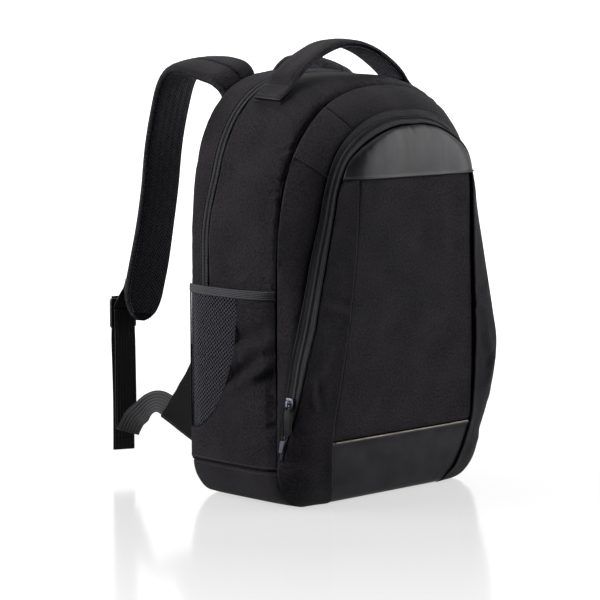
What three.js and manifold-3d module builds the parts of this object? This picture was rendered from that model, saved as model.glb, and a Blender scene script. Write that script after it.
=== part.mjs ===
// Laptop backpack: a hollow body of sewn panels with a zipped front pocket, two side pockets, a padded
// handle and two padded shoulder straps. Millimetres, +X right seen from the front, -Y front, +Z up.
import * as THREE from 'three';
import { mergeVertices } from 'three/addons/utils/BufferGeometryUtils.js';
import Module from 'manifold-3d';

// Body
const bodyDepth = 128; // from the main front seam to the back edge
const seamHalfWidth = 153.5; // body at the main front seam
const seamHeight = 441;
const backHalfWidth = 157.5; // body at the back edge
const backHeight = 456;
const shoulderHeight = 250; // where the straight sides turn into the arch
const seamSquareness = 2.4; // of the arch at the front seam
const backSquareness = 3.05; // of the arch at the back edge
const middleEvenness = 0.7; // 0 tapers evenly from seam to back, 1 stays level in the middle
const bottomRadius = 42; // lower corners
const gussetBelly = 3; // how far the sides swell between their two seams
const wall = 2; // sewn fabric panel
const clearance = 0.35; // between two neighbouring pieces
const pipingRadius = 1.5; // cord in the main front seam
const backPadding = 9;
const backCrown = 4; // how far the back padding swells
const dividerWall = 1.5; // wall between the main compartment and the front pocket
const dividerSetback = 6;

// Main zip, on the gusset
const mainZipWidth = 10;
const mainZipSetback = 23; // its middle, in front of the back edge
const mainZipDrift = 9; // how far it moves forward over the arch
const zipLip = 1; // how far a zip's lips and coil stand up

// Front section
const pocketDepth = 56; // deepest point of the front pocket, in front of the seam
const cornerPanelHeight = 347; // lower end of the corner panel
const topPanelHeight = 396; // lower end of the top panel
const leatherHeight = 346; // seam between the leather panel and the fabric below it
const leatherStripHeight = 72; // top of the leather strip at the foot of the pocket
const creaseInset = 1.3; // panel edge kept back from a fold
const tuckDepth = 1.7; // how far the strips' folded edges stand proud of the centre panel
const pocketSquareness = 8;

// Side pockets
const sidePocketTop = 222;
const sidePocketFoot = 43;
const sidePocketSwell = 9.5;
const sidePocketLift = 0.5; // at its sewn edges, over the side panel
const meshWall = 1.3;
const bindingHeight = 9;
const bindingWall = 2.4;
const meshDepth = 83; // how far the mesh reaches forward from the back edge
const meshDrop = 146; // how far it reaches down there
const meshRoundness = 1.9;

// Handle
const handleMiddle = 63; // behind the front seam
const handleWidth = 40;
const handleSpread = 90; // foot to middle
const handleCrest = 484; // its middle surface
const handleThickness = 8;
const footLength = 16; // of the handle sewn flat on the gusset
const patchThickness = 1.2;

// Shoulder straps
const strapWidth = 62;
const strapPadding = 11;
const strapSpread = 88;
const strapReach = 150; // hanging strap behind the back edge
const strapCrest = 464;
const strapMeshWall = 1.6;
const strapMeshMargin = 4;

// Webbing, buckles and anchors
const webWidth = 25;
const webThickness = 1.6;
const buckleWidth = 32;
const buckleHeight = 34;
const buckleThickness = 4;
const buckleBar = 4.5;
const buckleOut = 119; // its middle, from the middle of the bag
const buckleBack = 160.5; // behind the back edge
const buckleUp = 181;
const buckleTurn = 168; // direction of its width, in degrees from +X
const tabThickness = 2.6;
const tabTop = 150; // sewn edge of the anchor wing
const tabFoot = 58;
const tabMargin = 2; // the wing beyond the webbing sewn to it

// Sliders and pulls
const sliderLength = 12;
const sliderWidth = 9;
const sliderHeight = 3;
const bridgeWidth = 2.6;
const bridgeLength = 8;
const bridgeRise = 3.6; // over the slider's body
const bridgeWire = 1.3;
const linkWire = 1.4;
const linkLength = 7.4;
const linkWidth = 8;
const pullLength = 26; // the moulded pull, without its link
const pullWidth = 9;
const pullThickness = 2.4;
const sliderUp = 117; // front zip, left end
const mainSliderLap = 3.12; // main zip, right side
const endTabFoot = 63;
const endTabTop = 76;
const endTabThickness = 1.2;

// Zip arch of the front section: the outer and the inner edge, from the foot to the crown.
// Shares of seamHalfWidth, seamHeight and pocketDepth.
const zipArch = [
  { outerOut: 0.993, outerUp: 0.118, outerForward: 0.03, innerOut: 0.992, innerUp: 0.122, innerForward: 0.1 },
  { outerOut: 0.995, outerUp: 0.159, outerForward: 0.08, innerOut: 0.997, innerUp: 0.163, innerForward: 0.23 },
  { outerOut: 0.997, outerUp: 0.222, outerForward: 0.16, innerOut: 0.992, innerUp: 0.222, innerForward: 0.42 },
  { outerOut: 0.993, outerUp: 0.293, outerForward: 0.25, innerOut: 0.974, innerUp: 0.293, innerForward: 0.58 },
  { outerOut: 0.98, outerUp: 0.363, outerForward: 0.32, innerOut: 0.95, innerUp: 0.361, innerForward: 0.67 },
  { outerOut: 0.935, outerUp: 0.444, outerForward: 0.375, innerOut: 0.893, innerUp: 0.431, innerForward: 0.7 },
  { outerOut: 0.873, outerUp: 0.526, outerForward: 0.385, innerOut: 0.84, innerUp: 0.512, innerForward: 0.7 },
  { outerOut: 0.824, outerUp: 0.601, outerForward: 0.393, innerOut: 0.784, innerUp: 0.594, innerForward: 0.7 },
  { outerOut: 0.762, outerUp: 0.685, outerForward: 0.43, innerOut: 0.726, innerUp: 0.68, innerForward: 0.7 },
  { outerOut: 0.707, outerUp: 0.773, outerForward: 0.464, innerOut: 0.674, innerUp: 0.764, innerForward: 0.715 },
  { outerOut: 0.625, outerUp: 0.844, outerForward: 0.51, innerOut: 0.604, innerUp: 0.825, innerForward: 0.76 },
  { outerOut: 0.5, outerUp: 0.891, outerForward: 0.54, innerOut: 0.487, innerUp: 0.862, innerForward: 0.8 },
  { outerOut: 0.313, outerUp: 0.927, outerForward: 0.57, innerOut: 0.306, innerUp: 0.893, innerForward: 0.83 },
  { outerOut: 0.117, outerUp: 0.942, outerForward: 0.6, innerOut: 0.117, innerUp: 0.908, innerForward: 0.84 },
];

// Middle of the pocket's face from the foot up: height as a share of seamHeight, reach of pocketDepth,
// and half the width of the centre panel as a share of seamHalfWidth.
const pocketFace = [
  { up: 0, forward: 0.02, half: 0.555 },
  { up: 0.007, forward: 0.17, half: 0.565 },
  { up: 0.023, forward: 0.28, half: 0.58 },
  { up: 0.057, forward: 0.41, half: 0.63 },
  { up: 0.163, forward: 0.625, half: 0.697 },
  { up: 0.22, forward: 0.69, half: 0.697 },
  { up: 0.34, forward: 0.79, half: 0.668 },
  { up: 0.454, forward: 0.865, half: 0.632 },
  { up: 0.596, forward: 0.925, half: 0.593 },
  { up: 0.785, forward: 1, half: 0.5635 },
  { up: 0.85, forward: 0.985, half: 0.55 },
  { up: 0.889, forward: 0.92, half: 0.54 },
  { up: 0.911, forward: 0.84, half: 0.53 },
];

// Shoulder strap, middle line from its root on the back to its rounded end: out as a share of
// strapSpread, back of strapReach, up of strapCrest; rise and swing of its inner edge over its outer
// one, and the width there, as shares of strapWidth.
const strapLine = [
  { out: 0.86, back: 0.065, up: 0.86, rise: 0.36, swing: 0, width: 0.78 },
  { out: 0.88, back: 0.075, up: 0.935, rise: 0.36, swing: 0.03, width: 0.84 },
  { out: 0.93, back: 0.13, up: 0.968, rise: 0.32, swing: 0, width: 0.94 },
  { out: 0.97, back: 0.25, up: 0.982, rise: 0.27, swing: 0, width: 1 },
  { out: 1, back: 0.42, up: 0.99, rise: 0.18, swing: 0, width: 1 },
  { out: 1, back: 0.56, up: 0.985, rise: 0.13, swing: 0.06, width: 1 },
  { out: 1, back: 0.675, up: 0.95, rise: 0.1, swing: 0.12, width: 1 },
  { out: 1, back: 0.75, up: 0.89, rise: 0.08, swing: 0.15, width: 1 },
  { out: 1, back: 0.825, up: 0.8, rise: 0.03, swing: 0.17, width: 1 },
  { out: 1, back: 0.875, up: 0.694, rise: 0, swing: 0.17, width: 1 },
  { out: 1.02, back: 0.92, up: 0.6, rise: 0, swing: 0.14, width: 0.98 },
  { out: 1.09, back: 0.94, up: 0.513, rise: -0.08, swing: 0.08, width: 0.96 },
  { out: 1.17, back: 0.95, up: 0.442, rise: -0.15, swing: 0.05, width: 0.92 },
  { out: 1.235, back: 0.94, up: 0.372, rise: -0.15, swing: 0.03, width: 0.86 },
];

// Handle, middle line from where it leaves the gusset to the crown: out as a share of handleSpread,
// lift of its rise.
const handleLine = [
  { out: 0.97, lift: 0.09 },
  { out: 0.89, lift: 0.25 },
  { out: 0.73, lift: 0.49 },
  { out: 0.48, lift: 0.77 },
  { out: 0.22, lift: 0.95 },
  { out: 0, lift: 1 },
];

// Webbing of the left strap, its middle line from the anchor wing to the fold and up to the buckle:
// out as a share of backHalfWidth, back of strapReach, up of strapCrest; turn and lean give the
// direction of its width, in degrees from +X and from level.
const webLine = [
  { out: 0.948, back: 0.305, up: 0.194, turn: 120, lean: -56 },
  { out: 0.94, back: 0.407, up: 0.202, turn: 122, lean: -68 },
  { out: 0.927, back: 0.5, up: 0.199, turn: 125, lean: -84 },
  { out: 0.908, back: 0.6, up: 0.186, turn: 130, lean: -102 },
  { out: 0.883, back: 0.707, up: 0.164, turn: 135, lean: -125 },
  { out: 0.844, back: 0.833, up: 0.142, turn: 139, lean: -145 },
  { out: 0.8, back: 0.94, up: 0.116, turn: 140, lean: -157 },
  { out: 0.768, back: 1.005, up: 0.1, turn: 143, lean: -163 },
  { out: 0.761, back: 1.032, up: 0.108, turn: 147, lean: -167 },
  { out: 0.759, back: 1.04, up: 0.134, turn: 153, lean: -173 },
  { out: 0.757, back: 1.042, up: 0.215, turn: 160, lean: -178 },
  { out: 0.757, back: 1.043, up: 0.323, turn: 166, lean: -180 },
];

// Free end of the webbing, from under the buckle down.
const tailLine = [
  { out: 0.755, back: 1.092, up: 0.323, turn: 167, lean: -180 },
  { out: 0.753, back: 1.08, up: 0.215, turn: 164, lean: -180 },
  { out: 0.75, back: 1.078, up: 0.13, turn: 160, lean: -180 },
  { out: 0.75, back: 1.078, up: 0.053, turn: 157, lean: -180 },
];

// Short loop that holds the buckle on the strap's outer face.
const loopLine = [
  { out: 0.69, back: 1.012, up: 0.475, turn: 178, lean: -180 },
  { out: 0.705, back: 1.014, up: 0.455, turn: 175, lean: -180 },
  { out: 0.73, back: 1.026, up: 0.437, turn: 171, lean: -180 },
];

// Materials
const fabricCloth = new THREE.MeshStandardMaterial({ color: 0x1b1b1d, roughness: 0.9, metalness: 0 });
const fauxLeather = new THREE.MeshStandardMaterial({ color: 0x232427, roughness: 0.45, metalness: 0 });
const netCloth = new THREE.MeshStandardMaterial({ color: 0x141416, roughness: 0.95, metalness: 0 });
const zipTape = new THREE.MeshStandardMaterial({ color: 0x121214, roughness: 0.7, metalness: 0 });
const webbingCloth = new THREE.MeshStandardMaterial({ color: 0x17171a, roughness: 0.8, metalness: 0 });
const buckleNylon = new THREE.MeshStandardMaterial({ color: 0x0f1012, roughness: 0.4, metalness: 0 });
const gunmetal = new THREE.MeshStandardMaterial({ color: 0x6e7074, roughness: 0.3, metalness: 1 });
const pullRubber = new THREE.MeshStandardMaterial({ color: 0x111113, roughness: 0.6, metalness: 0 });

const bag = new THREE.Group();

function addPiece(name, geometry, material) {
  const mesh = new THREE.Mesh(geometry, material);
  mesh.name = name;
  bag.add(mesh);
  return mesh;
}

// A smooth curve through a table: the value of one column where the key column has a given value.
function readTable(rows, key, column, at) {
  const last = rows.length - 1;
  let i = 0;
  while (i < last - 1 && rows[i + 1][key] < at) i += 1;
  const slope = (k) => {
    const before = rows[Math.max(k - 1, 0)];
    const after = rows[Math.min(k + 1, last)];
    return (after[column] - before[column]) / (after[key] - before[key]);
  };
  const span = rows[i + 1][key] - rows[i][key];
  const t = THREE.MathUtils.clamp((at - rows[i][key]) / span, 0, 1);
  const rise = rows[i + 1][column] - rows[i][column];
  const a = slope(i) * span - rise;
  const b = rise - slope(i + 1) * span;
  return rows[i][column] + rise * t + t * (1 - t) * (a * (1 - t) + b * t);
}

// A closed body through a row of sections, each a list of points: the first half of a section is one
// face and the second half, in reverse, the other.
function loft(sections) {
  const count = sections[0].length;
  const points = sections.flat();
  const faces = [];
  const quad = (a, b, c, d) => faces.push(a, b, c, a, c, d);
  for (let i = 0; i < sections.length - 1; i += 1) {
    const here = i * count;
    const next = here + count;
    for (let j = 0; j < count; j += 1) {
      const k = (j + 1) % count;
      quad(here + j, next + j, next + k, here + k);
    }
  }
  const end = (sections.length - 1) * count;
  for (let j = 0; j < count / 2 - 1; j += 1) {
    const across = count - 1 - j;
    quad(j, j + 1, across - 1, across);
    quad(end + j, end + across, end + across - 1, end + j + 1);
  }
  return facingOut(points, faces);
}

// The same triangles turned so that the body's volume is positive.
function facingOut(points, faces) {
  let volume = 0;
  const cross = new THREE.Vector3();
  for (let i = 0; i < faces.length; i += 3) {
    cross.crossVectors(points[faces[i + 1]], points[faces[i + 2]]);
    volume += points[faces[i]].dot(cross);
  }
  const index = [...faces];
  if (volume < 0) {
    for (let i = 0; i < index.length; i += 3) [index[i + 1], index[i + 2]] = [index[i + 2], index[i + 1]];
  }
  const geometry = new THREE.BufferGeometry();
  geometry.setAttribute('position', new THREE.Float32BufferAttribute(points.flatMap((p) => p.toArray()), 3));
  geometry.setIndex(index);
  geometry.computeVertexNormals();
  return geometry;
}

// The same body on the other side of the bag.
function mirrored(geometry) {
  const position = geometry.getAttribute('position');
  const points = [];
  for (let i = 0; i < position.count; i += 1) {
    points.push(new THREE.Vector3(-position.getX(i), position.getY(i), position.getZ(i)));
  }
  return facingOut(points, [...geometry.getIndex().array]);
}

const bagHeart = new THREE.Vector3(0, bodyDepth / 2, shoulderHeight * 0.85);
const probe = 0.004; // step that a surface's direction is measured over, as a share of its span

// Outward direction of a surface given as place(u, v).
function outward(place, u, v) {
  const along = place(u + probe, v).sub(place(u - probe, v));
  const across = place(u, v + probe).sub(place(u, v - probe));
  const normal = along.cross(across).normalize();
  const away = place(u, v).sub(bagHeart);
  return normal.dot(away) < 0 ? normal.negate() : normal;
}

// A sewn panel: a surface place(u, v) with a thickness behind it, between two shares each way.
function panel(place, steps, thickness, { u = [0, 1], v = [0, 1], raise = () => 0, lift = 0 } = {}) {
  const sections = [];
  for (let i = 0; i <= steps[0]; i += 1) {
    const face = [];
    const back = [];
    const uHere = THREE.MathUtils.lerp(u[0], u[1], i / steps[0]);
    for (let j = 0; j <= steps[1]; j += 1) {
      const vHere = THREE.MathUtils.lerp(v[0], v[1], j / steps[1]);
      const normal = outward(place, uHere, vHere);
      const foot = place(uHere, vHere).addScaledVector(normal, lift);
      face.push(foot.clone().addScaledVector(normal, raise(uHere, vHere)));
      back.unshift(foot.clone().addScaledVector(normal, -thickness));
    }
    sections.push([...face, ...back]);
  }
  return loft(sections);
}

// Outline of the body at a depth y: lap 0 is the middle of the bottom, 2 the top of the right corner,
// 3 the right shoulder, 4 the crown and 8 the bottom again.
function bodyOutline(lap, y, inset = 0) {
  const turn = ((lap % 8) + 8) % 8;
  const side = turn > 4 ? -1 : 1;
  const t = turn > 4 ? 8 - turn : turn;
  const { half, top, power } = bodySpan(y, inset);
  const radius = bottomRadius - inset;
  const point = new THREE.Vector3(0, y, inset);
  if (t < 1) {
    point.x = (half - radius) * t;
  } else if (t < 2) {
    const angle = (t - 1) * Math.PI / 2;
    point.x = half - radius + radius * Math.sin(angle);
    point.z = inset + radius * (1 - Math.cos(angle));
  } else if (t < 3) {
    point.x = half;
    point.z = THREE.MathUtils.lerp(bottomRadius, shoulderHeight, t - 2);
  } else {
    const angle = (t - 3) * Math.PI / 2;
    point.x = half * Math.max(Math.cos(angle), 0) ** (2 / power);
    point.z = shoulderHeight + (top - shoulderHeight) * Math.sin(angle) ** (2 / power);
  }
  point.x *= side;
  return point;
}

function bodySpan(y, inset = 0) {
  const back = y / bodyDepth;
  const change = THREE.MathUtils.lerp(back, 0.5 + 4 * (back - 0.5) ** 3, middleEvenness);
  const swell = gussetBelly * (1 - (2 * back - 1) ** 4) - inset;
  return {
    half: THREE.MathUtils.lerp(seamHalfWidth, backHalfWidth, change) + swell,
    top: THREE.MathUtils.lerp(seamHeight, backHeight, change) + swell,
    power: THREE.MathUtils.lerp(seamSquareness, backSquareness, change),
  };
}

// The lap on the right side where the outline has a given height, up to the shoulder.
function lapAtHeight(z) {
  if (z < bottomRadius) return 1 + Math.acos((bottomRadius - z) / bottomRadius) * 2 / Math.PI;
  return 2 + (z - bottomRadius) / (shoulderHeight - bottomRadius);
}

const sideTop = sidePocketTop + bindingHeight / 2;
const sideTopLap = lapAtHeight(sideTop);
const baseLap = lapAtHeight(sidePocketFoot - 2);
const seamInset = pipingRadius + 1.6 * clearance;
const innerInset = wall + 3.8 * clearance; // of a panel that crosses the body, from its outline

// Depth of the main zip's middle on a lap: it drifts forward from the sides to the arch.
function mainZipDepth(lap) {
  const fromCrown = Math.abs(lap - 4);
  return bodyDepth - mainZipSetback - mainZipDrift * (1 - THREE.MathUtils.smoothstep(fromCrown, 0.75, 0.98));
}

// Part of the body's skin between two laps and two depths, each a function of the lap.
function skin(laps, front, back, steps, options = {}) {
  const place = (u, v) => {
    const lap = THREE.MathUtils.lerp(laps[0], laps[1], u);
    return bodyOutline(lap, THREE.MathUtils.lerp(front(lap), back(lap), v));
  };
  return panel(place, steps, wall, options);
}

const lapGap = clearance / 2 / (shoulderHeight - bottomRadius); // half a gap, on the straight sides
const gap = clearance / 2;
const archSteps = 34;
const archLaps = [sideTopLap + lapGap, 8 - sideTopLap - lapGap];

function addBody() {
  const frontEdge = () => seamInset;
  const backEdge = () => bodyDepth;
  const beside = (offset) => (lap) => mainZipDepth(lap) + offset;
  const halfZip = mainZipWidth / 2;
  const mainGusset = skin(archLaps, frontEdge, beside(-halfZip - gap), [archSteps, 4]);
  addPiece('main_gusset', mainGusset, fabricCloth);
  addPiece('rear_gusset', skin(archLaps, beside(halfZip + gap), backEdge, [archSteps, 1]), fabricCloth);
  const ridge = (u, v) => zipLip * Math.abs(Math.cos(2 * Math.PI * v));
  const zip = skin(archLaps, beside(gap - halfZip), beside(halfZip - gap), [archSteps, 4], { raise: ridge });
  addPiece('main_zip', zip, zipTape);
  const sideLaps = [baseLap + lapGap, sideTopLap - lapGap];
  const side = skin(sideLaps, frontEdge, backEdge, [3, 6]);
  addPiece('side_panel_right', side, fabricCloth);
  addPiece('side_panel_left', mirrored(side), fabricCloth);
  const baseLaps = [-baseLap + lapGap, baseLap - lapGap];
  addPiece('base_panel', skin(baseLaps, frontEdge, backEdge, [18, 3]), fabricCloth);
  addPiece('back_panel', backPanel(), fabricCloth);
  addPiece('pocket_back_wall', dividerPanel(), fabricCloth);
  addPiece('seam_piping', seamPiping(), fabricCloth);
}

// A flat panel across the body at a depth, inside its outline.
function crossPanel(y, inset, thickness, steps, crown) {
  const crownLap = 3.92;
  const place = (u, v, depth, swell) => {
    const edge = bodyOutline(THREE.MathUtils.lerp(1, crownLap, v), depth, inset);
    const across = 2 * u - 1;
    edge.y += swell * (1 - across ** 4) * (1 - (2 * v - 1) ** 4);
    edge.x *= across;
    return edge;
  };
  const sections = [];
  for (let j = 0; j <= steps[1]; j += 1) {
    const v = j / steps[1];
    const outer = [];
    const inner = [];
    for (let i = 0; i <= steps[0]; i += 1) {
      outer.push(place(i / steps[0], v, y, crown));
      inner.unshift(place(i / steps[0], v, y - thickness, 0));
    }
    sections.push([...outer, ...inner]);
  }
  return loft(sections);
}

function backPanel() {
  return crossPanel(bodyDepth - 1, innerInset, backPadding, [8, 13], backCrown);
}

function dividerPanel() {
  return crossPanel(dividerSetback, innerInset, dividerWall, [4, 13], 0);
}

// Cord in the main front seam, sunk a little into it, from one lower corner over the arch to the other.
function seamPiping() {
  const stretches = [
    { from: 1.45, to: 2, steps: 3 },
    { from: 2, to: 3, steps: 2 },
    { from: 3, to: 4, steps: 18 },
  ];
  const right = stretches.flatMap(({ from, to, steps }) => (
    Array.from({ length: steps }, (_, i) => THREE.MathUtils.lerp(from, to, i / steps))
  ));
  const laps = [...right, 4, ...right.map((lap) => 8 - lap).reverse()];
  const sides = 6;
  const sunk = pipingRadius * 0.2;
  const side = new THREE.Vector3(0, 1, 0);
  return loft(laps.map((lap) => {
    const middle = bodyOutline(lap, 0, sunk);
    const along = bodyOutline(lap + probe, 0, sunk).sub(bodyOutline(lap - probe, 0, sunk)).normalize();
    const out = along.cross(side);
    return Array.from({ length: sides }, (_, k) => {
      const angle = (k + 0.5) / sides * 2 * Math.PI;
      const point = middle.clone().addScaledVector(out, pipingRadius * Math.cos(angle));
      return point.addScaledVector(side, pipingRadius * Math.sin(angle));
    });
  }));
}

// The zip arch's two edges as curves over the whole arch, from the left foot to the right one.
function archCurve(edge) {
  const half = zipArch.map((row) => new THREE.Vector3(
    row[`${edge}Out`] * seamHalfWidth,
    -row[`${edge}Forward`] * pocketDepth,
    row[`${edge}Up`] * seamHeight,
  ));
  const left = half.map((p) => new THREE.Vector3(-p.x, p.y, p.z));
  const crown = half[half.length - 1].clone();
  crown.x = 0;
  return new THREE.CatmullRomCurve3([...left, crown, ...half.reverse()], false, 'centripetal');
}

const outerArch = archCurve('outer');
const innerArch = archCurve('inner');
const archFootShare = 1.25 / (2 * zipArch.length); // where the zip's tape comes out of the seam

// The share of the arch, on its left half, where the outer edge has a given height.
function archShareAtHeight(z) {
  let low = 0;
  let high = 0.5;
  for (let i = 0; i < 30; i += 1) {
    const middle = (low + high) / 2;
    if (outerArch.getPoint(middle).z < z) low = middle;
    else high = middle;
  }
  return low;
}

// The point of the main front seam straight out from a point of the front.
function seamBeside(point) {
  const side = Math.sign(point.x) || 1;
  if (point.z <= shoulderHeight) return new THREE.Vector3(side * seamHalfWidth, 0, point.z);
  const rise = point.z - shoulderHeight;
  const reach = (Math.abs(point.x) / seamHalfWidth) ** seamSquareness
    + (rise / (seamHeight - shoulderHeight)) ** seamSquareness;
  const scale = reach ** (-1 / seamSquareness);
  return new THREE.Vector3(point.x * scale, 0, shoulderHeight + rise * scale);
}

// The surface between the main front seam and the zip: u along the arch, v from the seam to the zip.
function surround(u, v) {
  const edge = outerArch.getPoint(u);
  return seamBeside(edge).lerp(edge, v);
}

// The zip's band: u along the arch, v from its outer to its inner edge.
function zipBand(u, v) {
  return outerArch.getPoint(u).lerp(innerArch.getPoint(u), v);
}

function surroundPanel(shares, steps) {
  const place = (u, v) => {
    const edge = outerArch.getPoint(u);
    const width = seamBeside(edge).distanceTo(edge);
    const inset = THREE.MathUtils.lerp(seamInset / width, 1 - gap / width, v);
    return surround(u, inset);
  };
  return panel(place, steps, wall, { u: shares });
}

function addFrontSection() {
  const sideFoot = archShareAtHeight(leatherStripHeight * 1.2);
  const cornerFoot = archShareAtHeight(cornerPanelHeight);
  const topFoot = archShareAtHeight(topPanelHeight);
  const half = gap / (Math.PI * seamHalfWidth + 2 * shoulderHeight); // half a gap as a share of the arch
  const side = surroundPanel([sideFoot, cornerFoot - half], [14, 2]);
  addPiece('front_side_left', side, fabricCloth);
  addPiece('front_side_right', mirrored(side), fabricCloth);
  const corner = surroundPanel([cornerFoot + half, topFoot - half], [5, 2]);
  addPiece('front_corner_left', corner, fabricCloth);
  addPiece('front_corner_right', mirrored(corner), fabricCloth);
  addPiece('front_top', surroundPanel([topFoot + half, 1 - topFoot - half], [12, 2]), fabricCloth);
  const place = (u, v) => {
    const width = outerArch.getPoint(u).distanceTo(innerArch.getPoint(u));
    return zipBand(u, THREE.MathUtils.lerp(clearance / width, 1 - creaseInset / width, v));
  };
  const ridge = (u, v) => zipLip * Math.abs(Math.cos(2 * Math.PI * v));
  const zip = panel(place, [38, 4], wall, { u: [archFootShare, 1 - archFootShare], raise: ridge });
  addPiece('front_zip', zip, zipTape);
}

// Edge of the front pocket at a height: how far out and how far forward it lies.
const innerEdge = innerArch.getPoints(160).slice(80).reverse().filter((p) => p.z > 0);

function pocketEdge(z) {
  const foot = innerEdge[0];
  if (z < foot.z) {
    const corner = bottomRadius - Math.min(z, bottomRadius);
    const rounding = bottomRadius - Math.sqrt(bottomRadius ** 2 - corner ** 2);
    const share = Math.max(z, 0) / foot.z;
    return { out: THREE.MathUtils.lerp(seamHalfWidth, foot.x, share) - rounding, forward: -foot.y * share };
  }
  let i = 1;
  while (i < innerEdge.length - 1 && innerEdge[i].z < z) i += 1;
  const below = innerEdge[i - 1];
  const above = innerEdge[i];
  const share = THREE.MathUtils.clamp((z - below.z) / (above.z - below.z), 0, 1);
  return {
    out: THREE.MathUtils.lerp(below.x, above.x, share),
    forward: -THREE.MathUtils.lerp(below.y, above.y, share),
  };
}

// A point of the pocket's face.
function facePoint(x, z) {
  const edge = pocketEdge(z);
  const middle = readTable(pocketFace, 'up', 'forward', z / seamHeight) * pocketDepth;
  const across = Math.min(Math.abs(x) / Math.max(edge.out, 1), 1);
  const forward = middle - (middle - edge.forward) * across ** pocketSquareness;
  return new THREE.Vector3(x, -forward, z);
}

function centreHalf(z) {
  return readTable(pocketFace, 'up', 'half', z / seamHeight) * seamHalfWidth;
}

// Heights of the rows of a face panel, closer together near the foot, where it curls under.
function faceHeight(low, high, v) {
  return low + (high - low) * Math.max(v, 0) ** 1.8;
}

const faceFoot = 0.9; // lowest edge of the pocket's panels
const foldShare = 0.4; // of a strip's width, that its folded edge slopes over

function addPocketFace() {
  const centre = (u, v) => {
    const z = THREE.MathUtils.lerp(leatherStripHeight + gap, leatherHeight - gap, v);
    return facePoint((2 * u - 1) * (centreHalf(z) - gap), z);
  };
  addPiece('pocket_center_panel', panel(centre, [8, 9], wall), fabricCloth);
  const foot = (u, v) => {
    const z = faceHeight(faceFoot, leatherStripHeight - gap, v);
    return facePoint((2 * u - 1) * (centreHalf(z) - gap), z);
  };
  addPiece('pocket_base_leather', panel(foot, [8, 7], wall), fauxLeather);
  const strip = (u, v) => {
    const z = faceHeight(faceFoot, leatherHeight - gap, v);
    const edge = pocketEdge(z);
    const inset = z < innerEdge[0].z + wall ? seamInset : creaseInset;
    return facePoint(-THREE.MathUtils.lerp(centreHalf(z) + gap, edge.out - inset, u), z);
  };
  const fold = (u, v) => tuckDepth * Math.max(1 - u / foldShare, 0) * Math.min(v / foldShare, 1);
  const stripPanel = panel(strip, [5, 20], wall, { raise: fold });
  addPiece('pocket_strip_left', stripPanel, fabricCloth);
  addPiece('pocket_strip_right', mirrored(stripPanel), fabricCloth);
  addPiece('pocket_top_leather', leatherTop(), fauxLeather);
}

// The leather panel between the straight seam and the zip's arch.
function leatherTop() {
  const low = leatherHeight + gap;
  const ends = archShareAtHeight(leatherHeight + 3 * creaseInset);
  const place = (u, v) => {
    const arch = innerArch.getPoint(THREE.MathUtils.lerp(ends + 0.02, 1 - ends - 0.02, u));
    const top = arch.z - clearance;
    const bottomHalf = pocketEdge(low).out - creaseInset;
    const z = THREE.MathUtils.lerp(low, Math.max(top, low), v);
    const x = THREE.MathUtils.lerp((2 * u - 1) * bottomHalf, arch.x, v);
    return facePoint(x, z);
  };
  return panel(place, [18, 5], wall);
}

// Side pocket: a sheet that swells away from the side panel towards its open top.
function sidePocketPoint(y, z) {
  const depthShare = y / bodyDepth;
  const heightShare = (z - sidePocketFoot) / (sidePocketTop - sidePocketFoot);
  const across = 1 - Math.abs(2 * depthShare - 1) ** 2.6;
  const swell = sidePocketSwell * across * Math.max(heightShare, 0) ** 0.75;
  const point = bodyOutline(lapAtHeight(z), y);
  point.x = -(point.x + sidePocketLift + swell + meshWall);
  return point;
}

// The curved seam between the mesh and the fabric: from the binding (0) down to the back edge (1).
function meshSeam(share, inset) {
  const angle = share * Math.PI / 2;
  const power = 2 / meshRoundness;
  return {
    y: bodyDepth - 1 - (meshDepth - inset) * Math.max(Math.cos(angle), 0) ** power,
    z: sidePocketTop - (meshDrop - inset) * Math.max(Math.sin(angle), 0) ** power,
  };
}

function addSidePockets() {
  const front = seamInset;
  const back = bodyDepth - 1;
  const plainShare = 0.25; // of the fabric's stations, in front of the mesh
  const fabricPlace = (u, v) => {
    const seam = meshSeam((u - plainShare) / (1 - plainShare), -gap);
    const y = u < plainShare ? THREE.MathUtils.lerp(front, back - meshDepth - gap, u / plainShare) : seam.y;
    const top = u < plainShare ? sidePocketTop - gap : seam.z - gap;
    return sidePocketPoint(y, THREE.MathUtils.lerp(sidePocketFoot + gap, top, v));
  };
  const meshPlace = (u, v) => {
    const seam = meshSeam(u, gap);
    return sidePocketPoint(seam.y, THREE.MathUtils.lerp(seam.z, sidePocketTop - gap, v));
  };
  const bindingPlace = (u, v) => {
    const y = THREE.MathUtils.lerp(front, back, u);
    return sidePocketPoint(y, THREE.MathUtils.lerp(sidePocketTop + gap, sidePocketTop + bindingHeight, v));
  };
  const pieces = [
    ['side_pocket_fabric', panel(fabricPlace, [12, 5], meshWall), fabricCloth],
    ['side_pocket_mesh', panel(meshPlace, [8, 4], meshWall, { u: [0.1, 1] }), netCloth],
    ['side_pocket_binding', panel(bindingPlace, [10, 1], bindingWall, { raise: () => 0.8 }), webbingCloth],
  ];
  for (const [name, geometry, material] of pieces) {
    addPiece(`${name}_left`, geometry, material);
    addPiece(`${name}_right`, mirrored(geometry), material);
  }
}

// A band along two edge curves: at each station its outer face is crowned and its inner one flat.
function band(stations, { steps = 4, crown = 0, edge, back = edge }) {
  const sections = stations.map(({ middle, across, out }) => {
    const face = [];
    const under = [];
    for (let k = 0; k <= steps; k += 1) {
      const share = 2 * k / steps - 1;
      const height = edge + crown * Math.sqrt(1 - Math.abs(share) ** 2.5);
      const point = middle.clone().addScaledVector(across, share);
      face.push(point.clone().addScaledVector(out, height));
      under.unshift(point.clone().addScaledVector(out, -back));
    }
    return [...face, ...under];
  });
  return loft(sections);
}

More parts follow.
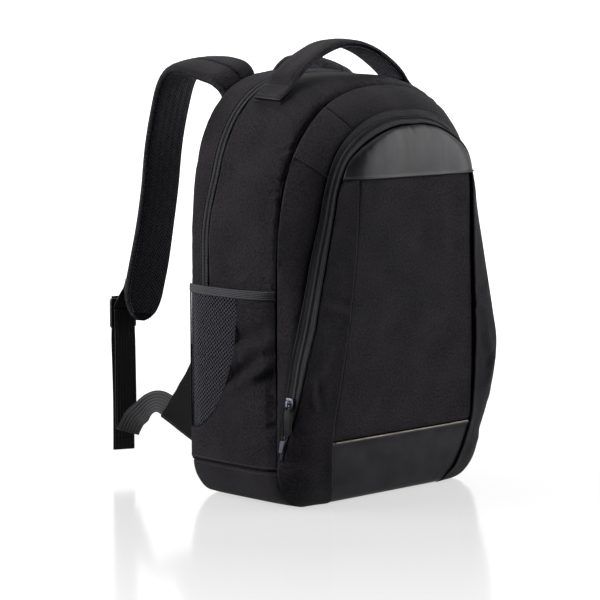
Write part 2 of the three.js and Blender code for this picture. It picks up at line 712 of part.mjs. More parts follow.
// Stations of a band from its middle line and the direction and half width of its across line.
function stationsAlong(middles, acrosses, outside) {
  const line = new THREE.CatmullRomCurve3(middles, false, 'centripetal');
  return acrosses.map((across, i) => {
    const share = i / (acrosses.length - 1);
    const tangent = line.getTangent(share);
    const out = across.clone().cross(tangent).normalize();
    if (outside(out, share)) out.negate();
    return { middle: line.getPoint(share), across, out };
  });
}

// Smooth rows between the rows of a table.
function refine(rows, count) {
  const numbered = rows.map((row, i) => ({ ...row, place: i }));
  const columns = Object.keys(rows[0]);
  return Array.from({ length: count + 1 }, (_, i) => {
    const at = i / count * (rows.length - 1);
    return Object.fromEntries(columns.map((c) => [c, readTable(numbered, 'place', c, at)]));
  });
}

const strapEndRounding = 0.085; // share of the strap's length that its round end takes

function strapStations(count, margin, offset) {
  const rows = refine(strapLine, count);
  const middles = [];
  const acrosses = [];
  rows.forEach((row, i) => {
    const share = i / count;
    const rounding = Math.max(share - (1 - strapEndRounding), 0) / strapEndRounding;
    const rounded = Math.max(Math.sqrt(1 - rounding ** 2), 0.25);
    const half = Math.max((row.width * strapWidth / 2 - margin) * rounded, 3);
    const level = Math.sqrt(1 - row.rise ** 2 - row.swing ** 2);
    middles.push(new THREE.Vector3(-row.out * strapSpread, bodyDepth + row.back * strapReach, row.up * strapCrest));
    acrosses.push(new THREE.Vector3(level, row.swing, row.rise).multiplyScalar(half));
  });
  const stations = stationsAlong(middles, acrosses, () => false);
  const turned = stations[0].out.y > 0 ? -1 : 1;
  stations.forEach((station) => {
    station.out.multiplyScalar(turned);
    station.middle.addScaledVector(station.out, offset);
  });
  return stations;
}

function addStraps() {
  const under = 3.5; // from the strap's middle surface to its flat inner face
  const crown = strapPadding - under - 2;
  const padShape = band(strapStations(28, 0, 0), { steps: 4, crown, edge: 2, back: under });
  const meshOffset = -(under + clearance + strapMeshWall / 2);
  const stations = strapStations(28, strapMeshMargin, meshOffset).slice(1, 28);
  const meshShape = band(stations, { steps: 1, edge: strapMeshWall / 2 });
  addPiece('strap_pad_left', padShape, fabricCloth);
  addPiece('strap_pad_right', mirrored(padShape), fabricCloth);
  addPiece('strap_mesh_left', meshShape, netCloth);
  addPiece('strap_mesh_right', mirrored(meshShape), netCloth);
}

// A point of the gusset under the handle, so far from the middle and raised so much.
function underHandle(out, lift) {
  const lap = lapAcross(out, handleMiddle);
  const place = (u, v) => bodyOutline(lap + u - 0.5, handleMiddle + (v - 0.5) * handleWidth);
  const across = place(0.5, 1).sub(place(0.5, 0)).setLength(handleWidth / 2);
  return { middle: place(0.5, 0.5).addScaledVector(outward(place, 0.5, 0.5), lift), across };
}

function handleStations(count, width, offset) {
  const underside = handleThickness / 4;
  const lift = underside + patchThickness + 3 * clearance;
  const feet = [footLength, footLength / 2, 0].map((reach) => underHandle(handleSpread + reach, lift));
  const foot = feet[2].middle.z;
  const level = new THREE.Vector3(0, handleWidth / 2, 0);
  const arch = refine(handleLine, count).map((row) => ({
    middle: new THREE.Vector3(row.out * handleSpread, handleMiddle, foot + row.lift * (handleCrest - foot)),
    across: feet[2].across.clone().lerp(level, Math.min(2 * row.lift, 1)),
  }));
  const right = [...feet, ...arch];
  const left = right.slice(0, -1).map(({ middle, across }) => ({
    middle: middle.clone().setX(-middle.x),
    across: across.clone().setX(-across.x),
  }));
  const whole = [...left, ...right.reverse()];
  const line = new THREE.CatmullRomCurve3(whole.map((p) => p.middle), false, 'centripetal');
  return whole.map(({ middle, across }, i) => {
    const tangent = line.getTangent(i / (whole.length - 1));
    const out = tangent.clone().cross(across).normalize();
    if (out.z < 0) out.negate();
    return { middle: middle.clone().addScaledVector(out, offset), across: across.clone().setLength(width / 2), out };
  });
}

function addHandle() {
  const edge = handleThickness / 4;
  const crown = handleThickness / 2 - edge + 1;
  addPiece('handle', band(handleStations(8, handleWidth, 0), { steps: 4, crown, edge }), fabricCloth);
  const meshOffset = -(edge + clearance + strapMeshWall / 2);
  const meshStations = handleStations(8, handleWidth - 2 * strapMeshMargin, meshOffset).slice(4, -4);
  addPiece('handle_mesh', band(meshStations, { steps: 1, edge: strapMeshWall / 2 }), netCloth);
  const outer = lapAcross(handleSpread + footLength, handleMiddle);
  const inner = lapAcross(handleSpread, handleMiddle);
  const place = (u, v) => bodyOutline(
    8 - THREE.MathUtils.lerp(outer, inner, u),
    handleMiddle + (v - 0.5) * handleWidth,
  );
  const foot = panel(place, [4, 2], patchThickness, { lift: clearance + patchThickness });
  addPiece('handle_foot_left', foot, fabricCloth);
  addPiece('handle_foot_right', mirrored(foot), fabricCloth);
}

// The lap on the right arch where the outline lies at a given distance from the middle.
function lapAcross(x, y) {
  const { half, power } = bodySpan(y);
  return 3 + Math.acos((x / half) ** (power / 2)) * 2 / Math.PI;
}

// Direction of a band's width, half as long as the band is wide.
function acrossLine(turn, lean, width) {
  const flat = Math.cos(THREE.MathUtils.degToRad(lean));
  return new THREE.Vector3(
    flat * Math.cos(THREE.MathUtils.degToRad(turn)),
    flat * Math.sin(THREE.MathUtils.degToRad(turn)),
    Math.sin(THREE.MathUtils.degToRad(lean)),
  ).multiplyScalar(width / 2);
}

// Points of webbing from a table: its middle and the direction of its width.
function webPoints(rows, count) {
  return refine(rows, count).map((row) => ({
    middle: new THREE.Vector3(
      -row.out * backHalfWidth,
      bodyDepth + row.back * strapReach,
      row.up * strapCrest,
    ),
    across: acrossLine(row.turn, row.lean, webWidth),
  }));
}

// Frame of the left buckle: its middle, its width, and the way it faces, away from the bag.
const buckleMiddle = new THREE.Vector3(-buckleOut, bodyDepth + buckleBack, buckleUp);
const buckleAcross = acrossLine(buckleTurn, -180, 2);
const buckleFacing = new THREE.Vector3(0, 0, 1).cross(buckleAcross).normalize();
const upward = new THREE.Vector3(0, 0, 1);

// Points of webbing turning round one of the buckle's bars, from facing side start to the other.
function turnRoundBar(barEdge, start, over, count) {
  const radius = buckleThickness / 2 + clearance + webThickness / 2;
  return Array.from({ length: count + 1 }, (_, i) => {
    const angle = Math.PI * i / count;
    const middle = buckleMiddle.clone()
      .addScaledVector(buckleFacing, start * radius * Math.cos(angle))
      .addScaledVector(upward, barEdge + over * radius * Math.sin(angle));
    return { middle, across: acrossLine(buckleTurn, -180, webWidth) };
  });
}

function ribbon(points) {
  const middles = points.map((p) => p.middle);
  const line = new THREE.CatmullRomCurve3(middles, false, 'centripetal');
  const stations = points.map(({ middle, across }, i) => {
    const tangent = line.getTangent(i / (points.length - 1));
    return { middle, across, out: across.clone().cross(tangent).normalize() };
  });
  return band(stations, { steps: 1, edge: webThickness / 2 });
}

// The anchor wing sewn into the body's back edge, as far as the webbing's start.
function anchorWing() {
  const [start, next] = webPoints(webLine, 22);
  const along = next.middle.clone().sub(start.middle).normalize();
  const end = start.middle.clone().addScaledVector(along, -clearance);
  const reach = start.across.clone().setLength(webWidth / 2 + tabMargin);
  const seam = (z) => new THREE.Vector3(-backHalfWidth + tabThickness / 2, bodyDepth + clearance, z);
  const thickness = new THREE.Vector3(tabThickness / 2, 0, 0);
  const sections = [];
  for (let i = 0; i <= 3; i += 1) {
    const high = seam(tabTop).lerp(end.clone().sub(reach), i / 3);
    const low = seam(tabFoot).lerp(end.clone().add(reach), i / 3);
    sections.push([
      high.clone().sub(thickness),
      low.clone().sub(thickness),
      low.clone().add(thickness),
      high.clone().add(thickness),
    ]);
  }
  return loft(sections);
}

// A ladder buckle: a frame with a bar across its middle.
function buckleShape() {
  const half = { x: buckleWidth / 2, y: buckleHeight / 2 };
  const rounding = 3;
  const shape = new THREE.Shape();
  shape.moveTo(-half.x + rounding, -half.y);
  shape.lineTo(half.x - rounding, -half.y);
  shape.quadraticCurveTo(half.x, -half.y, half.x, -half.y + rounding);
  shape.lineTo(half.x, half.y - rounding);
  shape.quadraticCurveTo(half.x, half.y, half.x - rounding, half.y);
  shape.lineTo(-half.x + rounding, half.y);
  shape.quadraticCurveTo(-half.x, half.y, -half.x, half.y - rounding);
  shape.lineTo(-half.x, -half.y + rounding);
  shape.quadraticCurveTo(-half.x, -half.y, -half.x + rounding, -half.y);
  const slotHalf = webWidth / 2 + clearance;
  for (const side of [-1, 1]) {
    const low = Math.min(side * buckleBar / 2, side * (half.y - buckleBar));
    const high = Math.max(side * buckleBar / 2, side * (half.y - buckleBar));
    const slot = new THREE.Path();
    slot.moveTo(-slotHalf, low);
    slot.lineTo(-slotHalf, high);
    slot.lineTo(slotHalf, high);
    slot.lineTo(slotHalf, low);
    shape.holes.push(slot);
  }
  return shape;
}

function extruded(shape, depth, curveSegments = 3) {
  const geometry = new THREE.ExtrudeGeometry(shape, { depth, bevelEnabled: false, curveSegments });
  geometry.translate(0, 0, -depth / 2);
  return geometry;
}

function addWebbing() {
  const barEdge = buckleBar / 2;
  const webbing = ribbon([
    ...webPoints(webLine, 20),
    ...turnRoundBar(barEdge, -1, 1, 5),
    ...webPoints(tailLine, 6),
  ]);
  const topBarEdge = buckleHeight / 2 - buckleBar;
  const lead = turnRoundBar(topBarEdge, -1, -1, 5);
  const end = lead[lead.length - 1];
  const loopEnd = { middle: end.middle.clone().addScaledVector(upward, buckleBar + 2), across: end.across };
  const pieces = [
    ['strap_webbing', webbing, webbingCloth],
    ['strap_loop', ribbon([...webPoints(loopLine, 3), ...lead, loopEnd]), webbingCloth],
    ['strap_tab', anchorWing(), webbingCloth],
  ];
  const turned = new THREE.Matrix4().makeBasis(buckleAcross, upward, buckleAcross.clone().cross(upward));
  const frame = extruded(buckleShape(), buckleThickness).applyMatrix4(turned.setPosition(buckleMiddle));
  frame.deleteAttribute('normal');
  frame.deleteAttribute('uv');
  pieces.push(['strap_buckle', mergeVertices(frame, 0.001), buckleNylon]);
  for (const [name, geometry, material] of pieces) {
    addPiece(`${name}_left`, geometry, material);
    addPiece(`${name}_right`, mirrored(geometry), material);
  }
}

const solids = await Module();
solids.setup();

function toSolid(geometry) {
  const bare = geometry.clone();
  bare.deleteAttribute('normal');
  bare.deleteAttribute('uv');
  const merged = mergeVertices(bare, 0.001);
  return new solids.Manifold(new solids.Mesh({
    numProp: 3,
    vertProperties: merged.getAttribute('position').array,
    triVerts: Uint32Array.from(merged.getIndex().array),
  }));
}

function joined(...geometries) {
  const whole = geometries.map(toSolid).reduce((a, b) => a.add(b)).getMesh();
  const geometry = new THREE.BufferGeometry();
  geometry.setAttribute('position', new THREE.Float32BufferAttribute(whole.vertProperties, 3));
  geometry.setIndex([...whole.triVerts]);
  geometry.computeVertexNormals();
  return geometry;
}

// Slider in its own frame: x across the zip, y up along it, z away from it, on the zip's face.
function sliderShape() {
  const outline = new THREE.Shape();
  const half = sliderWidth / 2;
  const nose = half * 0.55;
  outline.moveTo(-nose, -sliderLength / 2);
  outline.lineTo(nose, -sliderLength / 2);
  outline.lineTo(half, 0);
  outline.lineTo(half * 0.85, sliderLength / 2);
  outline.lineTo(-half * 0.85, sliderLength / 2);
  outline.lineTo(-half, 0);
  const plate = extruded(outline, sliderHeight).translate(0, 0, sliderHeight / 2);
  const side = new THREE.Shape();
  const foot = sliderHeight / 2;
  const top = sliderHeight + bridgeRise;
  side.moveTo(-bridgeLength / 2, foot);
  side.lineTo(bridgeLength / 2, foot);
  side.lineTo(bridgeLength / 2, top - bridgeWire);
  side.lineTo(bridgeLength / 2 - bridgeWire, top);
  side.lineTo(-bridgeLength / 2 + bridgeWire, top);
  side.lineTo(-bridgeLength / 2, top - bridgeWire);
  const eye = new THREE.Path();
  const reach = bridgeLength / 2 - bridgeWire;
  eye.moveTo(-reach, sliderHeight);
  eye.lineTo(-reach, top - bridgeWire);
  eye.lineTo(reach, top - bridgeWire);
  eye.lineTo(reach, sliderHeight);
  side.holes.push(eye);
  const bridge = extruded(side, bridgeWidth).rotateX(Math.PI / 2).rotateZ(Math.PI / 2);
  return joined(plate, bridge);
}

// Pull in a frame at its hinge: its link goes under the slider's bridge and it hangs down -y.
function pullShape() {
  const link = new THREE.Shape();
  const half = linkWidth / 2;
  link.moveTo(-half, -linkLength);
  link.lineTo(half, -linkLength);
  link.lineTo(half, linkWire / 2);
  link.lineTo(-half, linkWire / 2);
  const window = new THREE.Path();
  const inside = half - linkWire;
  window.moveTo(-inside, -linkWire / 2);
  window.lineTo(inside, -linkWire / 2);
  window.lineTo(inside, -linkLength + linkWire);
  window.lineTo(-inside, -linkLength + linkWire);
  link.holes.push(window);
  const body = new THREE.Shape();
  const top = -linkLength + linkWire / 2;
  const bottom = top - pullLength;
  const rounding = pullWidth / 3;
  body.moveTo(-pullWidth / 2 + rounding / 2, top);
  body.lineTo(pullWidth / 2 - rounding / 2, top);
  body.lineTo(pullWidth / 2, top - rounding / 2);
  body.lineTo(pullWidth / 2, bottom + rounding);
  body.quadraticCurveTo(pullWidth / 2, bottom, pullWidth / 2 - rounding, bottom);
  body.lineTo(-pullWidth / 2 + rounding, bottom);
  body.quadraticCurveTo(-pullWidth / 2, bottom, -pullWidth / 2, bottom + rounding);
  body.lineTo(-pullWidth / 2, top - rounding / 2);
  return joined(extruded(link, linkWire), extruded(body, pullThickness));
}

const hingeHeight = sliderHeight + (bridgeRise - bridgeWire) / 2; // of the pull's hinge, over the zip

// A place on a zip: its origin clear of the coil, y up the zip and z straight out of it.
function placeOnZip(point, up, out) {
  const across = up.clone().cross(out).normalize();
  const along = out.clone().cross(across).normalize();
  const matrix = new THREE.Matrix4().makeBasis(across, along, out);
  return matrix.setPosition(point.clone().addScaledVector(out, zipLip + 2 * clearance));
}

function addSliders() {
  const share = archShareAtHeight(sliderUp);
  const point = zipBand(share, 0.5);
  const left = placeOnZip(point, new THREE.Vector3(0, 0, 1), new THREE.Vector3(-1, 0, 0));
  const slider = addPiece('front_zip_slider', sliderShape(), gunmetal);
  slider.applyMatrix4(left);
  const pull = addPiece('front_zip_pull', pullShape(), pullRubber);
  pull.applyMatrix4(left.clone().multiply(new THREE.Matrix4().makeTranslation(0, 0, hingeHeight)));
  const middle = bodyOutline(mainSliderLap, mainZipDepth(mainSliderLap));
  const ahead = bodyOutline(mainSliderLap + probe, mainZipDepth(mainSliderLap));
  const up = ahead.sub(middle).normalize();
  const out = new THREE.Vector3(0, 1, 0).cross(up).normalize();
  const right = placeOnZip(middle, up, out.x < 0 ? out.negate() : out);
  const hanging = pullShape().translate(0, 0, sliderHeight + bridgeRise - bridgeWire);
  const whole = joined(sliderShape(), hanging);
  addPiece('main_zip_slider', whole, gunmetal).applyMatrix4(right);
  const shares = [endTabFoot, endTabTop].map(archShareAtHeight);
  const tab = panel(zipBand, [2, 2], endTabThickness, {
    u: shares,
    v: [0.15, 0.8],
    lift: zipLip + clearance + endTabThickness,
  });
  addPiece('zip_end_tab', tab, webbingCloth);
}

addBody();
addFrontSection();
addPocketFace();
addSidePockets();
addStraps();
addHandle();
addWebbing();
addSliders();

// The origin at the middle of the bottom of the whole bag.
const box = new THREE.Box3().setFromObject(bag);
const middle = box.getCenter(new THREE.Vector3());
bag.position.set(-middle.x, -middle.y, -box.min.z);

const backpack = new THREE.Group();
backpack.add(bag);

export default backpack;
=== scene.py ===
"""Laptop backpack: the cloth, leather, mesh, zips, straps and fittings over its solid model.

It loads the solid model as a fixed frame, makes every visible piece in that frame, and sets up the
floor, the lights and the camera. Shapes are worked out in millimetres from the same sizes as the solids,
with y = 0 at the bag's main front seam, and are moved into the frame and turned to metres at the end.
"""

import math

import bmesh
import bpy
import numpy as np
from mathutils import Matrix, Vector


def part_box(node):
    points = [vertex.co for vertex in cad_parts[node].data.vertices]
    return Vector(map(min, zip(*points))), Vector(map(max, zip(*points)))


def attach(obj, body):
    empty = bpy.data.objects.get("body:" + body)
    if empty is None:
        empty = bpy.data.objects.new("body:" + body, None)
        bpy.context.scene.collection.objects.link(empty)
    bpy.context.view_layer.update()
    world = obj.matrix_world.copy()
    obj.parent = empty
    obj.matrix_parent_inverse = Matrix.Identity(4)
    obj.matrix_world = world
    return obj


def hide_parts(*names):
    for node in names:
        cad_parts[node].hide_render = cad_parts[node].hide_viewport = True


bl_info = {
    "name": "Laptop Backpack",
    "version": (1, 0, 0),
    "blender": (4, 5, 0),
    "location": "View3D > Sidebar > Backpack",
    "description": "Makes the cloth, leather, mesh, zips and straps of a laptop backpack",
    "category": "Add Mesh",
}

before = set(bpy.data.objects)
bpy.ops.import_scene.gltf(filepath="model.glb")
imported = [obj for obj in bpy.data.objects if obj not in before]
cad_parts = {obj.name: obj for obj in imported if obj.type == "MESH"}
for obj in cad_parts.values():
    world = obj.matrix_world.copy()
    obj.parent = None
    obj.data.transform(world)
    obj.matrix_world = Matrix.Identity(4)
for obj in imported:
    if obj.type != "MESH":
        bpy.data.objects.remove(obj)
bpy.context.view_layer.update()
MM = 0.001

# Sizes of the solid model, in millimetres
BODY_DEPTH = 128.0
SEAM_HALF_WIDTH, SEAM_HEIGHT = 153.5, 441.0
BACK_HALF_WIDTH, BACK_HEIGHT = 157.5, 456.0
SHOULDER_HEIGHT = 250.0
SEAM_SQUARENESS, BACK_SQUARENESS = 2.4, 3.05
MIDDLE_EVENNESS = 0.7
BOTTOM_RADIUS = 42.0
GUSSET_BELLY = 3.0
MAIN_ZIP_WIDTH, MAIN_ZIP_SETBACK, MAIN_ZIP_DRIFT = 10.0, 23.0, 9.0
POCKET_DEPTH = 56.0
CORNER_HEIGHT, TOP_PANEL_HEIGHT = 347.0, 396.0
LEATHER_HEIGHT, LEATHER_STRIP_HEIGHT = 346.0, 72.0
SIDE_TOP, SIDE_FOOT, SIDE_SWELL = 222.0, 43.0, 9.5
MESH_DEPTH, MESH_DROP, MESH_ROUNDNESS = 83.0, 146.0, 1.9
BINDING_HEIGHT = 9.0
CORD_INSET = 3.8
HANDLE_MIDDLE, HANDLE_WIDTH, HANDLE_SPREAD, HANDLE_CREST = 63.0, 40.0, 90.0, 484.0
STRAP_WIDTH, STRAP_SPREAD, STRAP_REACH, STRAP_CREST = 62.0, 88.0, 150.0, 464.0
WEB_WIDTH, WEB_THICKNESS = 25.0, 1.6
SEAM_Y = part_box("base_panel")[1].y / MM - BODY_DEPTH  # of the main front seam, in the frame

# Zip arch: outer edge out, up, forward and inner edge out, up, forward, as shares
ZIP_ARCH = np.array([
    [0.993, 0.118, 0.03, 0.992, 0.122, 0.1],
    [0.995, 0.159, 0.08, 0.997, 0.163, 0.23],
    [0.997, 0.222, 0.16, 0.992, 0.222, 0.42],
    [0.993, 0.293, 0.25, 0.974, 0.293, 0.58],
    [0.98, 0.363, 0.32, 0.95, 0.361, 0.67],
    [0.935, 0.444, 0.375, 0.893, 0.431, 0.7],
    [0.873, 0.526, 0.385, 0.84, 0.512, 0.7],
    [0.824, 0.601, 0.393, 0.784, 0.594, 0.7],
    [0.762, 0.685, 0.43, 0.726, 0.68, 0.7],
    [0.707, 0.773, 0.464, 0.674, 0.764, 0.715],
    [0.625, 0.844, 0.51, 0.604, 0.825, 0.76],
    [0.5, 0.891, 0.54, 0.487, 0.862, 0.8],
    [0.313, 0.927, 0.57, 0.306, 0.893, 0.83],
    [0.117, 0.942, 0.6, 0.117, 0.908, 0.84],
])

# Middle of the pocket's face from the foot up: up, forward, half width of the centre panel
POCKET_FACE = np.array([
    [0, 0.02, 0.555],
    [0.007, 0.17, 0.565],
    [0.023, 0.28, 0.58],
    [0.057, 0.41, 0.63],
    [0.163, 0.625, 0.697],
    [0.22, 0.69, 0.697],
    [0.34, 0.79, 0.668],
    [0.454, 0.865, 0.632],
    [0.596, 0.925, 0.593],
    [0.785, 1, 0.5635],
    [0.85, 0.985, 0.55],
    [0.889, 0.92, 0.54],
    [0.911, 0.84, 0.53],
])

# Shoulder strap: out, back, up, rise, swing, width
STRAP_LINE = np.array([
    [0.86, 0.065, 0.86, 0.36, 0, 0.78],
    [0.88, 0.075, 0.935, 0.36, 0.03, 0.84],
    [0.93, 0.13, 0.968, 0.32, 0, 0.94],
    [0.97, 0.25, 0.982, 0.27, 0, 1],
    [1, 0.42, 0.99, 0.18, 0, 1],
    [1, 0.56, 0.985, 0.13, 0.06, 1],
    [1, 0.675, 0.95, 0.1, 0.12, 1],
    [1, 0.75, 0.89, 0.08, 0.15, 1],
    [1, 0.825, 0.8, 0.03, 0.17, 1],
    [1, 0.875, 0.694, 0, 0.17, 1],
    [1.02, 0.92, 0.6, 0, 0.14, 0.98],
    [1.09, 0.94, 0.513, -0.08, 0.08, 0.96],
    [1.17, 0.95, 0.442, -0.15, 0.05, 0.92],
    [1.235, 0.94, 0.372, -0.15, 0.03, 0.86],
])

# Handle: out, lift
HANDLE_LINE = np.array([[0.97, 0.09], [0.89, 0.25], [0.73, 0.49], [0.48, 0.77], [0.22, 0.95], [0, 1]])

# Webbing: out, back, up, turn, lean
WEB_LINE = np.array([
    [0.948, 0.305, 0.194, 120, -56],
    [0.94, 0.407, 0.202, 122, -68],
    [0.927, 0.5, 0.199, 125, -84],
    [0.908, 0.6, 0.186, 130, -102],
    [0.883, 0.707, 0.164, 135, -125],
    [0.844, 0.833, 0.142, 139, -145],
    [0.8, 0.94, 0.116, 140, -157],
    [0.768, 1.005, 0.1, 143, -163],
    [0.761, 1.032, 0.108, 147, -167],
    [0.759, 1.04, 0.134, 153, -173],
    [0.757, 1.042, 0.215, 160, -178],
    [0.757, 1.043, 0.323, 166, -180],
])
TAIL_LINE = np.array([
    [0.755, 1.092, 0.323, 167, -180],
    [0.753, 1.08, 0.215, 164, -180],
    [0.75, 1.078, 0.13, 160, -180],
    [0.75, 1.078, 0.053, 157, -180],
])
LOOP_LINE = np.array([
    [0.69, 1.012, 0.475, 178, -180],
    [0.705, 1.014, 0.455, 175, -180],
    [0.73, 1.026, 0.437, 171, -180],
])
BUCKLE_MIDDLE = np.array([-119.0, BODY_DEPTH + 160.5, 181.0])
LOOP_SLACK = 3.0  # of the strap's loop in the buckle
BUCKLE_TURN, BUCKLE_HEIGHT, BUCKLE_BAR, BUCKLE_THICKNESS = 168.0, 34.0, 4.5, 4.0


# Sizes of the visible pieces, in millimetres
CLOTH_THICKNESS, LEATHER_THICKNESS, TAPE_THICKNESS = 1.5, 1.4, 1.2
PAD_THICKNESS, PAD_CELL, PAD_BULGE = 8.0, 5.0, 3.5
SEAM_ALLOWANCE = 0.9  # from the main front seam to the edge of the panels that it joins
STITCH_INSET = 2.2
STITCH_WIDTH, STITCH_HEIGHT = 0.66, 0.52
CORD_RADIUS, TRIM_RADIUS, RIM_RADIUS, STRAND_RADIUS = 2.4, 0.75, 0.9, 0.34
COIL_WIDTH, COIL_HEIGHT, COIL_LIFT = 5.0, 2.1, 0.9
MERGE_DISTANCE = 1e-6  # metres
AIR_PRESSURE, AIR_FRAMES = 4.0, 14
QUILT_LEVELS = (110, 190, 270, 350)


# Numbers

def lerp(a, b, t):
    """The value a share t of the way from a to b."""
    return a + (b - a) * t


def smooth(t):
    """A rise from 0 to 1 with soft ends."""
    t = np.clip(t, 0, 1)
    return t * t * (3 - 2 * t)


def through(rows, at):
    """Values of a table's columns at positions along its rows, on a smooth curve through them."""
    rows = np.asarray(rows, float)
    at = np.atleast_1d(np.asarray(at, float))
    last = len(rows) - 1
    i = np.clip(np.floor(at).astype(int), 0, last - 1)
    t = (at - i)[:, None]
    slope = np.empty_like(rows)
    slope[1:-1] = (rows[2:] - rows[:-2]) / 2
    slope[0], slope[-1] = rows[1] - rows[0], rows[-1] - rows[-2]
    rise = rows[i + 1] - rows[i]
    a, b = slope[i] - rise, rise - slope[i + 1]
    return rows[i] + rise * t + t * (1 - t) * (a * (1 - t) + b * t)


def read_table(rows, column, at):
    """One column of a table where its first column has the given values."""
    key, values = rows[:, 0], rows[:, column]
    slope = np.empty(len(rows))
    slope[1:-1] = (values[2:] - values[:-2]) / (key[2:] - key[:-2])
    slope[0] = (values[1] - values[0]) / (key[1] - key[0])
    slope[-1] = (values[-1] - values[-2]) / (key[-1] - key[-2])
    i = np.clip(np.searchsorted(key, at, side="right") - 1, 0, len(rows) - 2)
    span = key[i + 1] - key[i]
    t = np.clip((at - key[i]) / span, 0, 1)
    rise = values[i + 1] - values[i]
    a, b = slope[i] * span - rise, rise - slope[i + 1] * span
    return values[i] + rise * t + t * (1 - t) * (a * (1 - t) + b * t)


def spline(points, share):
    """Points of a centripetal curve through the given ones, at shares of its stretches."""
    points = np.asarray(points, float)
    last = len(points) - 1
    at = np.clip(np.asarray(share, float), 0, 1) * last
    i = np.clip(np.floor(at).astype(int), 0, last - 1)
    t = (at - i)[..., None]
    padded = np.vstack([2 * points[0] - points[1], points, 2 * points[-1] - points[-2]])
    p0, p1, p2, p3 = (padded[i + k] for k in range(4))
    d0, d1, d2 = (np.maximum(np.linalg.norm(b - a, axis=-1), 1e-6)[..., None] ** 0.5
                  for a, b in ((p0, p1), (p1, p2), (p2, p3)))
    t1 = ((p1 - p0) / d0 - (p2 - p0) / (d0 + d1) + (p2 - p1) / d1) * d1
    t2 = ((p2 - p1) / d1 - (p3 - p1) / (d1 + d2) + (p3 - p2) / d2) * d1
    return p1 + t1 * t + (-3 * p1 + 3 * p2 - 2 * t1 - t2) * t**2 + (2 * p1 - 2 * p2 + t1 + t2) * t**3


def noise(x, y, seed=0):
    """Smooth relief between -1 and 1 with bumps about one unit across."""
    x, y = np.broadcast_arrays(np.asarray(x, float), np.asarray(y, float))
    ix, iy = np.floor(x), np.floor(y)
    fx, fy = smooth(x - ix), smooth(y - iy)

    def corner(a, b):
        h = np.sin(a * 127.1 + b * 311.7 + seed * 74.7) * 43758.5453
        return 2 * (h - np.floor(h)) - 1

    low = lerp(corner(ix, iy), corner(ix + 1, iy), fx)
    high = lerp(corner(ix, iy + 1), corner(ix + 1, iy + 1), fx)
    return lerp(low, high, fy)


def unit(v):
    return v / np.maximum(np.linalg.norm(v, axis=-1, keepdims=True), 1e-9)


# The bag's surfaces

def body_span(y, inset=0.0):
    """Half width, height and squareness of the body's section at a depth."""
    back = y / BODY_DEPTH
    change = lerp(back, 0.5 + 4 * (back - 0.5) ** 3, MIDDLE_EVENNESS)
    swell = GUSSET_BELLY * (1 - (2 * back - 1) ** 4) - inset
    half = lerp(SEAM_HALF_WIDTH, BACK_HALF_WIDTH, change) + swell
    top = lerp(SEAM_HEIGHT, BACK_HEIGHT, change) + swell
    return half, top, lerp(SEAM_SQUARENESS, BACK_SQUARENESS, change)


def body_outline(lap, y, inset=0.0):
    """A point of the body: lap 0 is the middle of the bottom, 3 the right shoulder, 4 the crown."""
    lap, y = np.broadcast_arrays(np.asarray(lap, float), np.asarray(y, float))
    turn = np.mod(lap, 8)
    side = np.where(turn > 4, -1, 1)
    t = np.where(turn > 4, 8 - turn, turn)
    half, top, power = body_span(y, inset)
    radius = BOTTOM_RADIUS - inset
    corner = np.clip(t - 1, 0, 1) * np.pi / 2
    arch = np.clip(t - 3, 0, 1) * np.pi / 2
    x = np.select(
        [t < 1, t < 2, t < 3],
        [(half - radius) * t, half - radius + radius * np.sin(corner), half],
        half * np.clip(np.cos(arch), 0, 1) ** (2 / power),
    )
    z = np.select(
        [t < 1, t < 2, t < 3],
        [inset + 0 * t, inset + radius * (1 - np.cos(corner)), lerp(BOTTOM_RADIUS, SHOULDER_HEIGHT, t - 2)],
        SHOULDER_HEIGHT + (top - SHOULDER_HEIGHT) * np.clip(np.sin(arch), 0, 1) ** (2 / power),
    )
    return np.stack([x * side, y, z], -1)


def lap_at_height(z):
    z = np.asarray(z, float)
    low = 1 + np.arccos(np.clip((BOTTOM_RADIUS - z) / BOTTOM_RADIUS, -1, 1)) * 2 / np.pi
    return np.where(z < BOTTOM_RADIUS, low, 2 + (z - BOTTOM_RADIUS) / (SHOULDER_HEIGHT - BOTTOM_RADIUS))


def lap_across(x, y):
    half, _, power = body_span(y)
    return 3 + np.arccos((x / half) ** (power / 2)) * 2 / np.pi


def main_zip_depth(lap):
    rise = smooth((np.abs(lap - 4) - 0.75) / 0.23)
    return BODY_DEPTH - MAIN_ZIP_SETBACK - MAIN_ZIP_DRIFT * (1 - rise)


def arch_points(columns):
    shares = ZIP_ARCH[:, columns]
    half = shares[:, [0, 2, 1]] * [SEAM_HALF_WIDTH, -POCKET_DEPTH, SEAM_HEIGHT]
    crown = half[-1] * [0, 1, 1]
    return np.vstack([half * [-1, 1, 1], crown, half[::-1]])


OUTER_ARCH = arch_points([0, 1, 2])
INNER_ARCH = arch_points([3, 4, 5])
OUTER_DENSE = spline(OUTER_ARCH, np.linspace(0, 0.5, 800))
INNER_DENSE = spline(INNER_ARCH, np.linspace(0.5, 1, 800))[::-1]


def arch_share(z):
    """The share of the arch, on its left half, where the outer edge has a given height."""
    return float(np.interp(z, OUTER_DENSE[:, 2], np.linspace(0, 0.5, 800)))


def seam_beside(point):
    x, z = point[..., 0], point[..., 2]
    side = np.where(x < 0, -1, 1)
    rise = np.maximum(z - SHOULDER_HEIGHT, 1e-6)
    reach = (np.abs(x) / SEAM_HALF_WIDTH) ** SEAM_SQUARENESS
    reach = reach + (rise / (SEAM_HEIGHT - SHOULDER_HEIGHT)) ** SEAM_SQUARENESS
    scale = reach ** (-1 / SEAM_SQUARENESS)
    above = np.stack([x * scale, 0 * x, SHOULDER_HEIGHT + rise * scale], -1)
    beside = np.stack([side * SEAM_HALF_WIDTH, 0 * x, z], -1)
    return np.where((z <= SHOULDER_HEIGHT)[..., None], beside, above)


